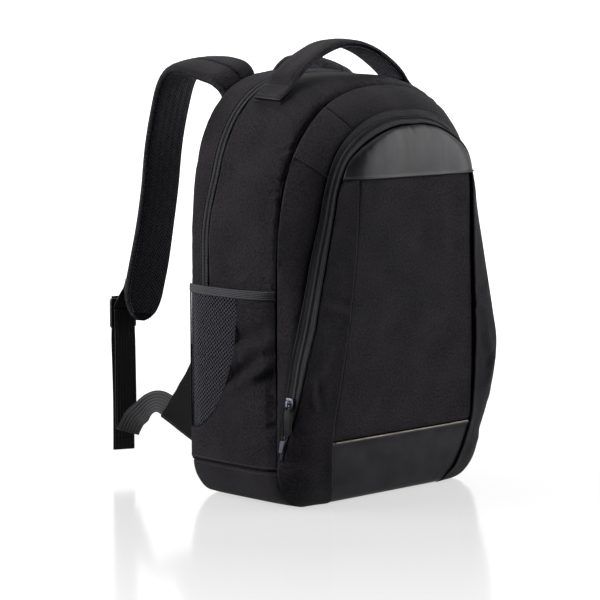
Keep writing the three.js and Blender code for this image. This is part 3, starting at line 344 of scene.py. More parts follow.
def base_rounding(z):
    """How far the rounded edge of the base lies inwards at a height."""
    corner = BOTTOM_RADIUS - np.clip(z, 0, BOTTOM_RADIUS)
    return BOTTOM_RADIUS - np.sqrt(BOTTOM_RADIUS**2 - corner**2)

def zip_band(u, v):
    return lerp(spline(OUTER_ARCH, u), spline(INNER_ARCH, u), v[..., None])


def pocket_edge(z):
    """How far out and forward the front pocket's edge lies at a height."""
    foot = INNER_DENSE[0]
    out = np.interp(z, INNER_DENSE[:, 2], INNER_DENSE[:, 0])
    forward = np.interp(z, INNER_DENSE[:, 2], -INNER_DENSE[:, 1])
    share = np.clip(z, 0, None) / foot[2]
    low = z < foot[2]
    out = np.where(low, lerp(SEAM_HALF_WIDTH, foot[0], share) - base_rounding(z), out)
    return out, np.where(low, -foot[1] * share, forward)


def face_point(x, z):
    out, forward = pocket_edge(z)
    middle = read_table(POCKET_FACE, 1, z / SEAM_HEIGHT) * POCKET_DEPTH
    across = np.clip(np.abs(x) / np.maximum(out, 1), 0, 1)
    reach = middle - (middle - forward) * across**8
    return np.stack(np.broadcast_arrays(x, -reach, z), -1)


def centre_half(z):
    return read_table(POCKET_FACE, 2, z / SEAM_HEIGHT) * SEAM_HALF_WIDTH


def side_pocket_point(y, z, extra=0.0):
    across = 1 - np.abs(2 * y / BODY_DEPTH - 1) ** 2.6
    height = np.clip((z - SIDE_FOOT) / (SIDE_TOP - SIDE_FOOT), 0, None)
    swell = SIDE_SWELL * across * height**0.75
    point = body_outline(lap_at_height(z), y)
    point[..., 0] = -(point[..., 0] + 1.8 + swell + extra)
    return point


def mesh_seam(share, inset=0.0):
    angle = np.clip(share, 0, 1) * np.pi / 2
    power = 2 / MESH_ROUNDNESS
    y = BODY_DEPTH - 1 - (MESH_DEPTH - inset) * np.clip(np.cos(angle), 0, 1) ** power
    z = SIDE_TOP - (MESH_DROP - inset) * np.clip(np.sin(angle), 0, 1) ** power
    return y, z


# Cloth panels

HEART = np.array([0, BODY_DEPTH / 2, SHOULDER_HEIGHT * 0.85])


class Panel:
    """A grid of points on a surface, in millimetres, with their outward directions."""

    def __init__(self, place, steps, u=(0, 1), v=(0, 1), heart=HEART):
        us, vs = np.meshgrid(np.linspace(*u, steps[0] + 1), np.linspace(*v, steps[1] + 1), indexing="ij")
        self.u, self.v = us, vs
        self.points = place(us, vs)
        self.heart = heart
        self.measure()

    def measure(self):
        p = self.points
        gaps = [np.linalg.norm(np.diff(p, axis=k), axis=-1) for k in (0, 1)]
        self.along = np.vstack([np.zeros((1, p.shape[1])), np.cumsum(gaps[0], axis=0)])
        self.over = np.hstack([np.zeros((p.shape[0], 1)), np.cumsum(gaps[1], axis=1)])
        normal = unit(np.cross(np.gradient(p, axis=0), np.gradient(p, axis=1)))
        self.turned = np.sum(normal * (p - self.heart)) < 0
        self.normal = -normal if self.turned else normal

    def reach(self, edge):
        """Distance from one of the panel's four edges."""
        return {
            "start": self.along,
            "end": self.along[-1:] - self.along,
            "low": self.over,
            "high": self.over[:, -1:] - self.over,
        }[edge]

    def lift(self, height):
        self.points = self.points + self.normal * np.asarray(height)[..., None]

    def seam(self, edge, depth=1.2, width=3.0, pucker=0.0, pitch=14.0, seed=0):
        """Turns an edge down into its seam and gathers the cloth beside it a little."""
        far = self.reach(edge)
        line = self.over if edge in ("start", "end") else self.along
        down = np.exp(-((far / width) ** 1.5))
        wave = noise(line / pitch, far / (4 * width), seed)
        wave = wave + 0.5 * noise(line / pitch * 2.3, 0 * far, seed + 1)
        self.lift(pucker * wave * np.exp(-far / (3 * width)) - depth * down)

    def fold(self, axes, start, end, width, height, lean=0.6, side=0):
        """A crease between two places given on two axes, with a hollow on one flank."""
        a, b = self.points[..., axes[0]], self.points[..., axes[1]]
        line = np.array(end, float) - start
        length = np.hypot(*line)
        line /= length
        t = ((a - start[0]) * line[0] + (b - start[1]) * line[1]) / length
        d = (a - start[0]) * -line[1] + (b - start[1]) * line[0]
        fade = smooth(t / 0.3 + 0.15) * smooth((1 - t) / 0.3 + 0.15) * (t > -0.05) * (t < 1.05)
        shape = np.exp(-((d / width) ** 2)) - lean * np.exp(-(((d + 1.7 * width) / width) ** 2))
        if side:
            fade = fade * (np.sign(self.points[..., 0]) == side)
        self.lift(height * shape * fade)

    def rumple(self, height, size, stretch=1.0, seed=0):
        """Low, wide unevenness, as loose cloth has."""
        self.lift(height * noise(self.along / size, self.over / (size * stretch), seed))

    def path(self, edge, inset, lift=0.0):
        """Points and directions of a line that keeps its distance from an edge."""
        self.measure()
        far = self.reach(edge)
        if edge in ("start", "end"):
            rows, away = np.swapaxes(self.points, 0, 1), far.T
            normals = np.swapaxes(self.normal, 0, 1)
        else:
            rows, away, normals = self.points, far, self.normal
        points, outs = [], []
        for row, distance, normal in zip(rows, away, normals):
            order = np.argsort(distance)
            points.append([np.interp(inset, distance[order], row[order, k]) for k in range(3)])
            outs.append([np.interp(inset, distance[order], normal[order, k]) for k in range(3)])
        outs = unit(np.array(outs))
        return np.array(points) + outs * lift, outs

    def shell(self, name, material, thickness=1.2):
        """Makes the panel a closed thin body, its face where the points are."""
        self.measure()
        nu, nv = self.points.shape[:2]
        outer = self.points.reshape(-1, 3)
        inner = (self.points - self.normal * thickness).reshape(-1, 3)
        index = np.arange(nu * nv).reshape(nu, nv)
        quads = np.stack([index[:-1, :-1], index[1:, :-1], index[1:, 1:], index[:-1, 1:]], -1).reshape(-1, 4)
        if self.turned:
            quads = quads[:, ::-1]
        rim = np.concatenate([index[:, 0], index[-1, 1:], index[-2::-1, -1], index[0, -2:0:-1]])
        sides = np.stack([rim, rim + nu * nv, np.roll(rim, -1) + nu * nv, np.roll(rim, -1)], -1)
        if self.turned:
            sides = sides[:, ::-1]
        faces = np.vstack([quads, quads[:, ::-1] + nu * nv, sides])
        middle = self.along.shape[1] // 2
        flat = np.stack([
            np.repeat(self.along[:, middle][:, None], nv, 1),
            self.over - self.over[:, middle][:, None],
        ], -1).reshape(-1, 2)
        return make_piece(name, np.vstack([outer, inner]), faces, material, np.vstack([flat, flat]))


def mirrored(points):
    return points * [-1, 1, 1]


def make_piece(name, points, faces, material, uv=None):
    """A mesh object from points in millimetres; uv is the cloth's own flat millimetres."""
    place = (np.asarray(points, float) + [0, SEAM_Y, 0]) * MM
    mesh = bpy.data.meshes.new(name)
    mesh.from_pydata(place.tolist(), [], [list(map(int, face)) for face in faces])
    if uv is not None:
        layer = mesh.uv_layers.new(name="Flat")
        corner = np.zeros(len(mesh.loops), np.int32)
        mesh.loops.foreach_get("vertex_index", corner)
        layer.data.foreach_set("uv", (np.asarray(uv)[corner] * MM).astype(np.float32).ravel())
    mesh.polygons.foreach_set("use_smooth", np.ones(len(mesh.polygons), bool))
    mesh.materials.append(material)
    mesh.validate()
    piece = bpy.data.objects.new(name, mesh)
    bpy.context.scene.collection.objects.link(piece)
    return piece


def other_side(piece, name):
    """The same piece on the bag's other side."""
    mesh = piece.data.copy()
    mesh.transform(Matrix.Diagonal((-1, 1, 1, 1)))
    mesh.flip_normals()
    twin = bpy.data.objects.new(name, mesh)
    bpy.context.scene.collection.objects.link(twin)
    return twin


def settle(piece, *nodes, slot="fabric", body="bag"):
    """Puts a finished piece on its body, in place of the solid that it dresses."""
    if nodes:
        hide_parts(*nodes)
    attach(piece, body)
    return piece


def settle_pair(piece, name, node=None, slot="fabric"):
    """Settles a piece of the left side and its twin on the right, and gives both."""
    left, right = ((f"{node}_left",), (f"{node}_right",)) if node else ((), ())
    return settle(piece, *left, slot=slot), settle(other_side(piece, f"{name}_right"), *right, slot=slot)


def run_of(middles):
    """Distance along a line at each of its points."""
    return np.concatenate([[0], np.cumsum(np.linalg.norm(np.diff(middles, axis=0), axis=1))])


def ring_faces(count, sides):
    """Faces of a row of rings, with both ends closed."""
    index = np.arange(count * sides).reshape(count, sides)
    turn = np.roll(index, -1, axis=1)
    faces = np.stack([index[:-1], turn[:-1], turn[1:], index[1:]], -1).reshape(-1, 4).tolist()
    return faces + [index[0][::-1].tolist(), index[-1].tolist()]


def tube(name, middles, outs, radius, material, sides=8):
    """A round cord along a line; radius may vary along it."""
    side = unit(np.cross(unit(np.gradient(middles, axis=0)), outs))
    out = np.cross(side, unit(np.gradient(middles, axis=0)))
    radius = np.broadcast_to(radius, len(middles))
    angle = np.linspace(0, 2 * np.pi, sides, endpoint=False)
    ring = out[:, None] * np.cos(angle)[None, :, None] + side[:, None] * np.sin(angle)[None, :, None]
    points = (middles[:, None] + ring * radius[:, None, None]).reshape(-1, 3)
    uv = np.stack([np.repeat(run_of(middles), sides), np.tile(angle * radius.mean(), len(middles))], -1)
    return outward(make_piece(name, points, ring_faces(len(middles), sides), material, uv))


def outward(piece, merge=0.0):
    """Merges points closer than a distance in metres and turns every face of a closed body outwards."""
    work = bmesh.new()
    work.from_mesh(piece.data)
    if merge:
        bmesh.ops.remove_doubles(work, verts=work.verts, dist=merge)
    bmesh.ops.recalc_face_normals(work, faces=work.faces)
    work.to_mesh(piece.data)
    work.free()
    return piece


def there_and_back(row):
    return np.concatenate([row, row[::-1]])


def band(name, middles, acrosses, outs, share, height, material, merge=0.0):
    """A strap or ribbon: share of the half width and height round its section, which may change along it."""
    height = np.broadcast_to(height, (len(middles), len(share)))
    points = middles[:, None] + acrosses[:, None] * share[None, :, None] + outs[:, None] * height[..., None]
    half = np.linalg.norm(acrosses, axis=1)
    uv = np.stack([np.repeat(run_of(middles), len(share)), (half[:, None] * share).ravel()], -1)
    faces = ring_faces(len(middles), len(share))
    return outward(make_piece(name, points.reshape(-1, 3), faces, material, uv), merge)


def keep_modified(piece):
    """Gives a piece the mesh that its modifiers make, without the modifiers, shaded smooth."""
    mesh = bpy.data.meshes.new_from_object(piece.evaluated_get(bpy.context.evaluated_depsgraph_get()))
    piece.modifiers.clear()
    piece.data = mesh
    mesh.polygons.foreach_set("use_smooth", np.ones(len(mesh.polygons), bool))
    return piece


def coordinates(mesh):
    """A mesh's points in metres, one to a row."""
    flat = np.zeros(len(mesh.vertices) * 3)
    mesh.vertices.foreach_get("co", flat)
    return flat.reshape(-1, 3)


def ridge(distance, width, power=2):
    """A rounded ridge, 1 on its line and fading with the distance from it."""
    return np.exp(-(np.abs(distance / width) ** power))


# Materials

def colour(code):
    """Linear colour of an sRGB hex value; a colour that is linear already comes back as it is."""
    if not isinstance(code, str):
        return tuple(code)
    channels = [int(code[i:i + 2], 16) / 255 for i in (0, 2, 4)]
    return tuple(c / 12.92 if c <= 0.04045 else ((c + 0.055) / 1.055) ** 2.4 for c in channels) + (1.0,)


def add_node(tree, kind, settings=None, **links):
    """Adds a node; links name inputs, by name or number after an underscore, and give a value or a socket."""
    node = tree.nodes.new(kind)
    for key, value in (settings or {}).items():
        setattr(node, key, value)
    for key, value in links.items():
        socket = node.inputs[int(key[1:])] if key[1:].isdigit() else node.inputs[key.replace("_", " ")]
        if isinstance(value, bpy.types.NodeSocket):
            tree.links.new(value, socket)
        else:
            socket.default_value = value
    return node


def math_node(tree, operation, *values):
    inputs = {f"_{number}": value for number, value in enumerate(values)}
    return add_node(tree, "ShaderNodeMath", {"operation": operation}, **inputs).outputs[0]


def noise_node(tree, place, scale, detail=3.0):
    return add_node(tree, "ShaderNodeTexNoise", Vector=place, Scale=scale, Detail=detail).outputs[0]


def stretch_node(tree, value, low, high, to_low, to_high):
    """A value taken from one range to another."""
    return add_node(tree, "ShaderNodeMapRange", _0=value, _1=low, _2=high, _3=to_low, _4=to_high).outputs[0]


def new_material(name):
    material = bpy.data.materials.new(name)
    material.use_nodes = True
    tree = material.node_tree
    tree.nodes.clear()
    shader = tree.nodes.new("ShaderNodeBsdfPrincipled")
    end = tree.nodes.new("ShaderNodeOutputMaterial")
    tree.links.new(shader.outputs["BSDF"], end.inputs["Surface"])
    return material, tree, shader


def set_shader(shader, **values):
    for key, value in values.items():
        shader.inputs[key.replace("_", " ")].default_value = value


def flat_cloth(tree):
    """The cloth's own flat coordinates, in metres."""
    return add_node(tree, "ShaderNodeUVMap", {"uv_map": "Flat"}).outputs["UV"]


def two_tone(tree, shader, factor, dark, light, low=0.38, high=0.62):
    """Colours a shader from dark to light as a factor goes from low to high."""
    ramp = add_node(tree, "ShaderNodeValToRGB", _0=factor)
    for stop, position, code in zip(ramp.color_ramp.elements, (low, high), (dark, light)):
        stop.position = position
        stop.color = colour(code)
    tree.links.new(ramp.outputs["Color"], shader.inputs["Base Color"])


def vary_roughness(tree, shader, factor, low, high):
    tree.links.new(stretch_node(tree, factor, 0.3, 0.7, low, high), shader.inputs["Roughness"])


def add_relief(tree, shader, strength, depth, height):
    """Bumps of a depth in metres, over those that the shader has already."""
    bumps = add_node(tree, "ShaderNodeBump", Strength=strength, Distance=depth, Height=height)
    normal = shader.inputs["Normal"]
    if normal.is_linked:
        tree.links.new(normal.links[0].from_socket, bumps.inputs["Normal"])
    tree.links.new(bumps.outputs[0], normal)


def ripple(tree, distance, pitch):
    """Waves a pitch apart, both in metres."""
    return math_node(tree, "SINE", math_node(tree, "MULTIPLY", distance, 2 * math.pi / pitch))


def weave_height(tree, flat, pitch):
    """Height of a plain weave with threads a pitch apart, in metres."""
    parts = add_node(tree, "ShaderNodeSeparateXYZ", _0=flat).outputs
    return math_node(tree, "MULTIPLY", ripple(tree, parts[0], pitch), ripple(tree, parts[1], pitch))


def woven(name, dark, light, pitch, bump, roughness, sheen=0.12, gloss=0.15):
    """Woven yarn cloth: matte, with a fine grid of threads, cloudy dye and a soft light on its turns."""
    material, tree, shader = new_material(name)
    flat = flat_cloth(tree)
    slub = noise_node(tree, flat, 430.0)
    cloud = math_node(tree, "MULTIPLY", noise_node(tree, flat, 22.0), 0.3)
    two_tone(tree, shader, math_node(tree, "MULTIPLY_ADD", slub, 0.7, cloud), dark, light)
    height = math_node(tree, "MULTIPLY_ADD", slub, 2.6, weave_height(tree, flat, pitch))
    add_relief(tree, shader, bump, 0.0007, height)
    set_shader(shader, Roughness=roughness, IOR=1.5, Specular_IOR_Level=gloss, Sheen_Weight=sheen,
               Sheen_Roughness=0.4, Sheen_Tint=colour("55555c"))
    return material


def coated_leather(name, dark, light, rough):
    """Coated knit with an embossed grain: a soft broad gloss, fine pores and lazy creases."""
    material, tree, shader = new_material(name)
    flat = flat_cloth(tree)
    pores = add_node(tree, "ShaderNodeTexVoronoi", {"feature": "DISTANCE_TO_EDGE"}, Vector=flat, Scale=750.0)
    cloud = noise_node(tree, flat, 26.0)
    two_tone(tree, shader, cloud, dark, light)
    add_relief(tree, shader, 0.22, 0.0002, pores.outputs[0])
    add_relief(tree, shader, 0.3, 0.0006, noise_node(tree, flat, 95.0, 4.0))
    vary_roughness(tree, shader, cloud, rough - 0.05, rough + 0.07)
    set_shader(shader, IOR=1.5, Specular_IOR_Level=0.055)
    return material


def air_mesh(name, dark, light, pitch, rows):
    """Padded spacer mesh knitted in a herringbone: rows of slanting loops with pits between, painted darker
    in the pits as painted shade.
    """
    material, tree, shader = new_material(name)
    flat = flat_cloth(tree)
    parts = add_node(tree, "ShaderNodeSeparateXYZ", _0=flat).outputs
    zigzag = math_node(tree, "PINGPONG", parts[1], rows)
    wave = ripple(tree, math_node(tree, "ADD", parts[0], zigzag), pitch)
    height = math_node(tree, "MULTIPLY_ADD", weave_height(tree, flat, pitch * 0.45), 0.35, wave)
    # Colour follows the knit's height: the pits are painted darker, as painted shade.
    two_tone(tree, shader, math_node(tree, "MULTIPLY_ADD", height, 0.4, 0.5), dark, light, 0.25, 0.85)
    add_relief(tree, shader, 0.8, 0.0006, height)
    set_shader(shader, Roughness=0.85, Specular_IOR_Level=0.08, Sheen_Weight=0.04, Sheen_Roughness=0.5)
    return material


def ribbed_webbing(name, dark, light, pitch):
    """Heavy flat webbing: raised cords along its length, each crossed by fine picks."""
    material, tree, shader = new_material(name)
    parts = add_node(tree, "ShaderNodeSeparateXYZ", _0=flat_cloth(tree)).outputs
    picks, cords = ripple(tree, parts[0], 0.0016), ripple(tree, parts[1], pitch)
    height = math_node(tree, "MULTIPLY_ADD", picks, 0.35, cords)
    # Colour follows the height: the grooves between the cords are painted darker, as painted shade.
    two_tone(tree, shader, math_node(tree, "MULTIPLY_ADD", height, 0.36, 0.5), dark, light, 0.1, 0.9)
    add_relief(tree, shader, 0.7, 0.0004, height)
    set_shader(shader, Roughness=0.6, Specular_IOR_Level=0.06, Sheen_Weight=0.03, Sheen_Roughness=0.4)
    return material


def moulded(name, code, roughness, grain=0.15, gloss=0.5):
    """Moulded plastic or rubber: even colour, a fine spark-eroded grain and a soft gloss."""
    material, tree, shader = new_material(name)
    place = add_node(tree, "ShaderNodeTexCoord").outputs["Object"]
    add_relief(tree, shader, grain, 0.0001, noise_node(tree, place, 2200.0, 2.0))
    vary_roughness(tree, shader, noise_node(tree, place, 160.0, 2.0), roughness - 0.06, roughness + 0.08)
    set_shader(shader, Base_Color=colour(code), IOR=1.5, Specular_IOR_Level=gloss)
    return material


def plated_metal(name, dark, light):
    """Die-cast zinc with a nickel plate: a grey mirror, dulled and lightly scuffed by handling."""
    material, tree, shader = new_material(name)
    scuff = noise_node(tree, add_node(tree, "ShaderNodeTexCoord").outputs["Object"], 900.0, 4.0)
    two_tone(tree, shader, scuff, dark, light)
    vary_roughness(tree, shader, scuff, 0.26, 0.42)
    set_shader(shader, Metallic=1.0)
    return material


# How each finish is made. Cloth threads lie 0.5 mm apart and are drawn 1.3 mm apart: finer ones don't show.
FINISHES = {
    # Near-black cloth for the side panels and the front pocket's back wall: painted shade inside the pockets.
    "lining": (woven, "Plain weave polyester lining", "030303", "060606", 0.0010, 0.3, 0.9, 0.0, 0.03),
    # Darker than the body's cloth: painted shade on the wings at the bag's back.
    "painted shade cloth": (woven, "Woven 600D polyester, doubled", "020202", "070708", 0.0012, 0.7, 0.6, 0.0, 0.02),
    # The rolled edge's light tone is a painted highlight along the base leather's top edge.
    "highlight_trim": (coated_leather, "Polished coated edge", "3d3834", "5a544d", 0.3),
    # Spacer meshes: their dark tone fills the knit's pits, as painted shade.
    "strap mesh": (air_mesh, "Herringbone spacer mesh", "020204", "12131c", 0.0042, 0.0052),
    "handle mesh": (air_mesh, "Fine spacer mesh", "040407", "20202a", 0.0036, 0.0026),
    "back mesh": (air_mesh, "Back spacer mesh", "08080b", "1e1e24", 0.0040, 0.0040),
    "net": (woven, "Knitted polyester net", "0d0d11", "1e1e26", 0.0009, 0.4, 0.7, 0.05),
    # Ribbed finishes: their dark tone fills the grooves between the cords, as painted shade.
    "webbing": (ribbed_webbing, "Ribbed polypropylene webbing", "040405", "101012", 0.0034),
    "binding": (ribbed_webbing, "Ribbed grosgrain binding", "09090b", "1a191b", 0.0018),
    "zip tape": (woven, "Woven zip tape", "040405", "121214", 0.0011, 0.6, 0.65, 0.04, 0.08),
    "coil": (moulded, "Nylon coil", "131316", 0.4, 0.1, 0.08),
    "thread": (woven, "Bonded polyester thread", "0e0e10", "1c1c20", 0.0009, 0.3, 0.5),
    "buckle": (moulded, "Moulded acetal", "060608", 0.34, 0.15, 0.15),
    "pull": (moulded, "Moulded soft vinyl", "030304", 0.5, 0.15, 0.03),
    "end tab": (ribbed_webbing, "Grey woven zip stop", "1c1d23", "31323a", 0.0018),
    "metal": (plated_metal, "Gunmetal plated zinc", "1d1f24", "3f4249"),
}
MATERIALS = {}


def material(name):
    """A finish of the bag, made when it is first asked for."""
    if name in MATERIALS:
        return MATERIALS[name]
    chosen = bpy.context.scene.backpack
    if name == "cloth":
        tones = (chosen.cloth_dark, chosen.cloth_light)
        MATERIALS[name] = woven("Woven 600D polyester", *tones, 0.0013, 0.8, 0.55, 0.02, 0.03)
    elif name == "leather":
        tones = (chosen.leather_dark, chosen.leather_light)
        MATERIALS[name] = coated_leather("Polyurethane coated leather cloth", *tones, 0.4)
    else:
        make, *values = FINISHES[name]
        MATERIALS[name] = make(*values)
    return MATERIALS[name]


# Repeated shapes

def row_tree(name, with_shape):
    """Geometry Nodes: small rounded shapes one after another along lines, or a round cord along them."""
    tree = bpy.data.node_groups.new(name, "GeometryNodeTree")
    face = tree.interface
    face.new_socket("Geometry", in_out="INPUT", socket_type="NodeSocketGeometry")
    inputs = [face.new_socket(title, in_out="INPUT", socket_type="NodeSocket" + kind)
              for title, kind in (("Spacing", "Float"), ("Size", "Vector"), ("Finish", "Material"))]
    face.new_socket("Geometry", in_out="OUTPUT", socket_type="NodeSocketGeometry")
    given = tree.nodes.new("NodeGroupInput").outputs
    lines = add_node(tree, "GeometryNodeMeshToCurve", Mesh=given["Geometry"]).outputs[0]
    if with_shape:
        even = add_node(tree, "GeometryNodeResampleCurve", {"mode": "LENGTH"}, Curve=lines,
                        Length=given["Spacing"])
        bead = add_node(tree, "GeometryNodeMeshIcoSphere", Radius=0.5, Subdivisions=1)
        tangent = add_node(tree, "GeometryNodeInputTangent")
        out = add_node(tree, "GeometryNodeInputNamedAttribute", {"data_type": "FLOAT_VECTOR"}, Name="out")
        turn = add_node(tree, "FunctionNodeAxesToRotation", {"primary_axis": "X", "secondary_axis": "Z"},
                        _0=tangent.outputs[0], _1=out.outputs[0])
        beads = add_node(tree, "GeometryNodeInstanceOnPoints", Points=even.outputs[0],
                         Instance=bead.outputs[0], Rotation=turn.outputs[0], Scale=given["Size"])
        made = add_node(tree, "GeometryNodeRealizeInstances", Geometry=beads.outputs[0])
    else:
        ring = add_node(tree, "GeometryNodeCurvePrimitiveCircle", Resolution=5, Radius=given["Spacing"])
        made = add_node(tree, "GeometryNodeCurveToMesh", Curve=lines, Profile_Curve=ring.outputs[0],
                        Fill_Caps=True)
    done = add_node(tree, "GeometryNodeSetMaterial", Geometry=made.outputs[0], Material=given["Finish"])
    tree.links.new(done.outputs[0], tree.nodes.new("NodeGroupOutput").inputs[0])
    return tree, [socket.identifier for socket in inputs]


def rows(name, paths, spacing, size, finish, with_shape=True):
    """Runs the row tree along paths, each (points, outward directions), and keeps the plain mesh."""
    points = np.vstack([p for p, _ in paths])
    outs = np.vstack([o for _, o in paths])
    edges, start = [], 0
    for p, _ in paths:
        edges += [(start + i, start + i + 1) for i in range(len(p) - 1)]
        start += len(p)
    mesh = bpy.data.meshes.new(name)
    mesh.from_pydata(((points + [0, SEAM_Y, 0]) * MM).tolist(), edges, [])
    out = mesh.attributes.new("out", "FLOAT_VECTOR", "POINT")
    out.data.foreach_set("vector", outs.astype(np.float32).ravel())
    piece = bpy.data.objects.new(name, mesh)
    bpy.context.scene.collection.objects.link(piece)
    modifier = piece.modifiers.new("Rows", "NODES")
    modifier.node_group, sockets = row_tree(name + "_nodes", with_shape)
    for socket, value in zip(sockets, (spacing * MM, [s * MM for s in size], finish)):
        modifier[socket] = value
    return keep_modified(piece)


STITCHES = []


def stitch(*paths):
    """Keeps seams' lines for the stitches, which are all made at the end."""
    STITCHES.extend(paths)


def both_sides(*paths):
    return [twin for points, outs in paths for twin in ((points, outs), (mirrored(points), mirrored(outs)))]


# The body

def body_skin(laps, front, back):
    def place(u, v):
        lap = lerp(laps[0], laps[1], u)
        return body_outline(lap, lerp(front(lap), back(lap), v))
    return place


SIDE_TOP_LAP = float(lap_at_height(SIDE_TOP + BINDING_HEIGHT / 2))
BASE_LAP = float(lap_at_height(SIDE_FOOT - 2))
ARCH_LAPS = (SIDE_TOP_LAP, 8 - SIDE_TOP_LAP)
HALF_ZIP = MAIN_ZIP_WIDTH / 2


def front_seam(lap):
    return SEAM_ALLOWANCE + 0 * lap


def back_edge(lap):
    return BODY_DEPTH + 0 * lap


def beside_zip(offset):
    return lambda lap: main_zip_depth(lap) + offset


def make_gussets():
    gusset = Panel(body_skin(ARCH_LAPS, front_seam, beside_zip(-HALF_ZIP - 0.2)), (340, 40))
    gusset.rumple(0.5, 46, 0.8, 3)
    gusset.rumple(0.28, 15, 1.6, 4)
    gusset.seam("low", 2.6, 10.0, 1.5, 15, 5)
    gusset.lift(-6.4 * ridge(gusset.reach("low"), 3.6, 1.5))
    gusset.seam("high", 1.0, 2.4, 0.25, 18, 6)
    for side in (-1, 1):
        for crease in (
            ((15, 345), (14, 228), 6.5, -1.3, 0.5),
            ((1, 380), (17, 372), 3.0, -1.7, 0.7),
            ((0, 346), (16, 352), 3.0, 1.4, 0.9),
            ((0, 334), (18, 330), 3.2, -1.5, 0.8),
            ((1, 300), (13, 306), 3.5, 0.9, 0.8),
            ((1, 262), (12, 258), 3.5, -0.8, 0.8),
            ((36, 250), (92, 238), 6.0, -0.8, 0.8),
        ):
            gusset.fold((1, 2), *crease, side)
    for x, turn in ((-82, 3.4), (-58, -3.4), (-22, 2.8), (6, -2.8), (46, 3.0), (88, -2.6)):
        gusset.fold((0, 1), (x, 0), (x + turn, 13), 3.2, -1.2, 0.8)
    settle(gusset.shell("gusset_cloth", material("cloth"), CLOTH_THICKNESS), "main_gusset")
    stitch(gusset.path("high", STITCH_INSET))
    rear = Panel(body_skin(ARCH_LAPS, beside_zip(HALF_ZIP + 0.2), back_edge), (340, 14))
    rear.rumple(0.3, 40, 1.0, 11)
    rear.seam("low", 1.0, 2.2, 0.25, 18, 12)
    rear.seam("high", 0.9, 2.2, 0.4, 12, 13)
    settle(rear.shell("rear_gusset_cloth", material("cloth"), CLOTH_THICKNESS), "rear_gusset")
    stitch(rear.path("low", STITCH_INSET))
    lips = Panel(body_skin(ARCH_LAPS, beside_zip(-HALF_ZIP), beside_zip(HALF_ZIP)), (340, 20))
    lips.lift(np.abs(np.sin(2 * np.pi * lips.v)) ** 0.6 - 1.6 * ridge(lips.v - 0.5, 0.06) - 0.4)
    lips.rumple(0.12, 22, 0.5, 15)
    settle(lips.shell("main_zip_lips", material("zip tape"), TAPE_THICKNESS), "main_zip", slot="zip_tape")
    stitch(lips.path("low", 1.4), lips.path("low", 8.4))


def make_side_and_base():
    side = Panel(body_skin((BASE_LAP, SIDE_TOP_LAP), front_seam, back_edge), (70, 46))
    side.rumple(0.4, 50, 1.0, 21)
    side.seam("low", 5.6, 9.0, 0.0)
    side.seam("high", 0.2, 2.0, 0.1, 16, 23)
    side.seam("end", 0.6, 2.0, 0.2, 16, 24)
    # The side panel shows only through the net: its near-black cloth is painted shade inside the side pocket.
    piece = side.shell("side_cloth_right", material("lining"), 1.5)
    settle(piece, "side_panel_right")
    settle(other_side(piece, "side_cloth_left"), "side_panel_left")
    base = Panel(body_skin((-BASE_LAP, BASE_LAP), front_seam, back_edge), (140, 44))
    wall = smooth((base.points[..., 2] - 3) / 14)
    base.lift(-2.4 * ridge(base.reach("low"), 6, 1.5) * wall)
    base.lift(-1.2 * ridge(base.reach("high"), 3, 1.5) * wall)
    for end in ("start", "end"):
        base.lift(-0.9 * ridge(base.reach(end), 2.2, 1.5))
    base.lift(0.5 * noise(base.along / 33, base.over / 40, 26) * wall)
    settle(base.shell("base_cloth", material("cloth"), 1.6), "base_panel")
    stitch(base.path("start", 3.0), base.path("end", 3.0))
    # The front pocket's back wall shows through gaps: near-black cloth as painted shade inside the pocket.
    hidden_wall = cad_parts["pocket_back_wall"].data
    hidden_wall.materials.clear()
    hidden_wall.materials.append(material("lining"))


def make_piping():
    laps = np.concatenate([np.linspace(1.05, 4, 300)[:-1], np.linspace(4, 6.95, 300)])
    middle = body_outline(laps, 0.0, CORD_INSET)
    ahead = unit(body_outline(laps + 0.004, 0.0, CORD_INSET) - body_outline(laps - 0.004, 0.0, CORD_INSET))
    out = np.cross(ahead, [0, 1, 0])
    out *= np.sign(np.sum(out * (middle - HEART), 1))[:, None]
    run = np.linspace(0, 1100, len(laps))
    middle = middle + out * (0.45 * noise(run / 13, 0, 31))[:, None]
    radius = CORD_RADIUS + 0.3 * noise(run / 6, 0, 32) + 0.15 * noise(run / 2.2, 0, 33)
    settle(tube("seam_cord", middle, out, radius, material("cloth"), 10), "seam_piping")


def make_back_pad():
    """The padded back: foam under spacer mesh, blown up as cloth and then quilted."""
    def place(u, v):
        edge = body_outline(lerp(1.0, 3.92, v), BODY_DEPTH - 1.0, 2.4)
        across = 2 * u - 1
        edge[..., 1] = edge[..., 1] + 3.0 * (1 - across**4) * (1 - (2 * v - 1) ** 4)
        edge[..., 0] = edge[..., 0] * across
        return edge
    pad = Panel(place, (54, 76)).shell("back_pad", material("back mesh"), PAD_THICKNESS)
    blow_up(pad)
    points = coordinates(pad.data) / MM - [0, SEAM_Y, 0]
    x, z = np.abs(points[:, 0]), points[:, 2]
    outside = smooth((points[:, 1] - BODY_DEPTH + 6) / 5)
    channel = ridge(x, 9) * smooth((z - 60) / 20) * smooth((430 - z) / 20)
    inner = ridge(x - 78, 4.5) * smooth((z - 110) / 20) * smooth((392 - z) / 20)
    cross = sum(ridge(z - level - 0.16 * x, 4.2) * smooth((x - 8) / 10) for level in QUILT_LEVELS)
    points[:, 1] -= (3.2 * channel + 1.8 * inner + 2.4 * cross) * outside
    points = (points + [0, SEAM_Y, 0]) * MM
    pad.data.vertices.foreach_set("co", points.ravel())
    flat = pad.data.uv_layers.get("Flat") or pad.data.uv_layers.new(name="Flat")
    corner = np.zeros(len(pad.data.loops), np.int32)
    pad.data.loops.foreach_get("vertex_index", corner)
    flat.data.foreach_set("uv", points[corner][:, [2, 0]].astype(np.float32).ravel())
    pad.data.update()
    settle(pad, "back_panel")


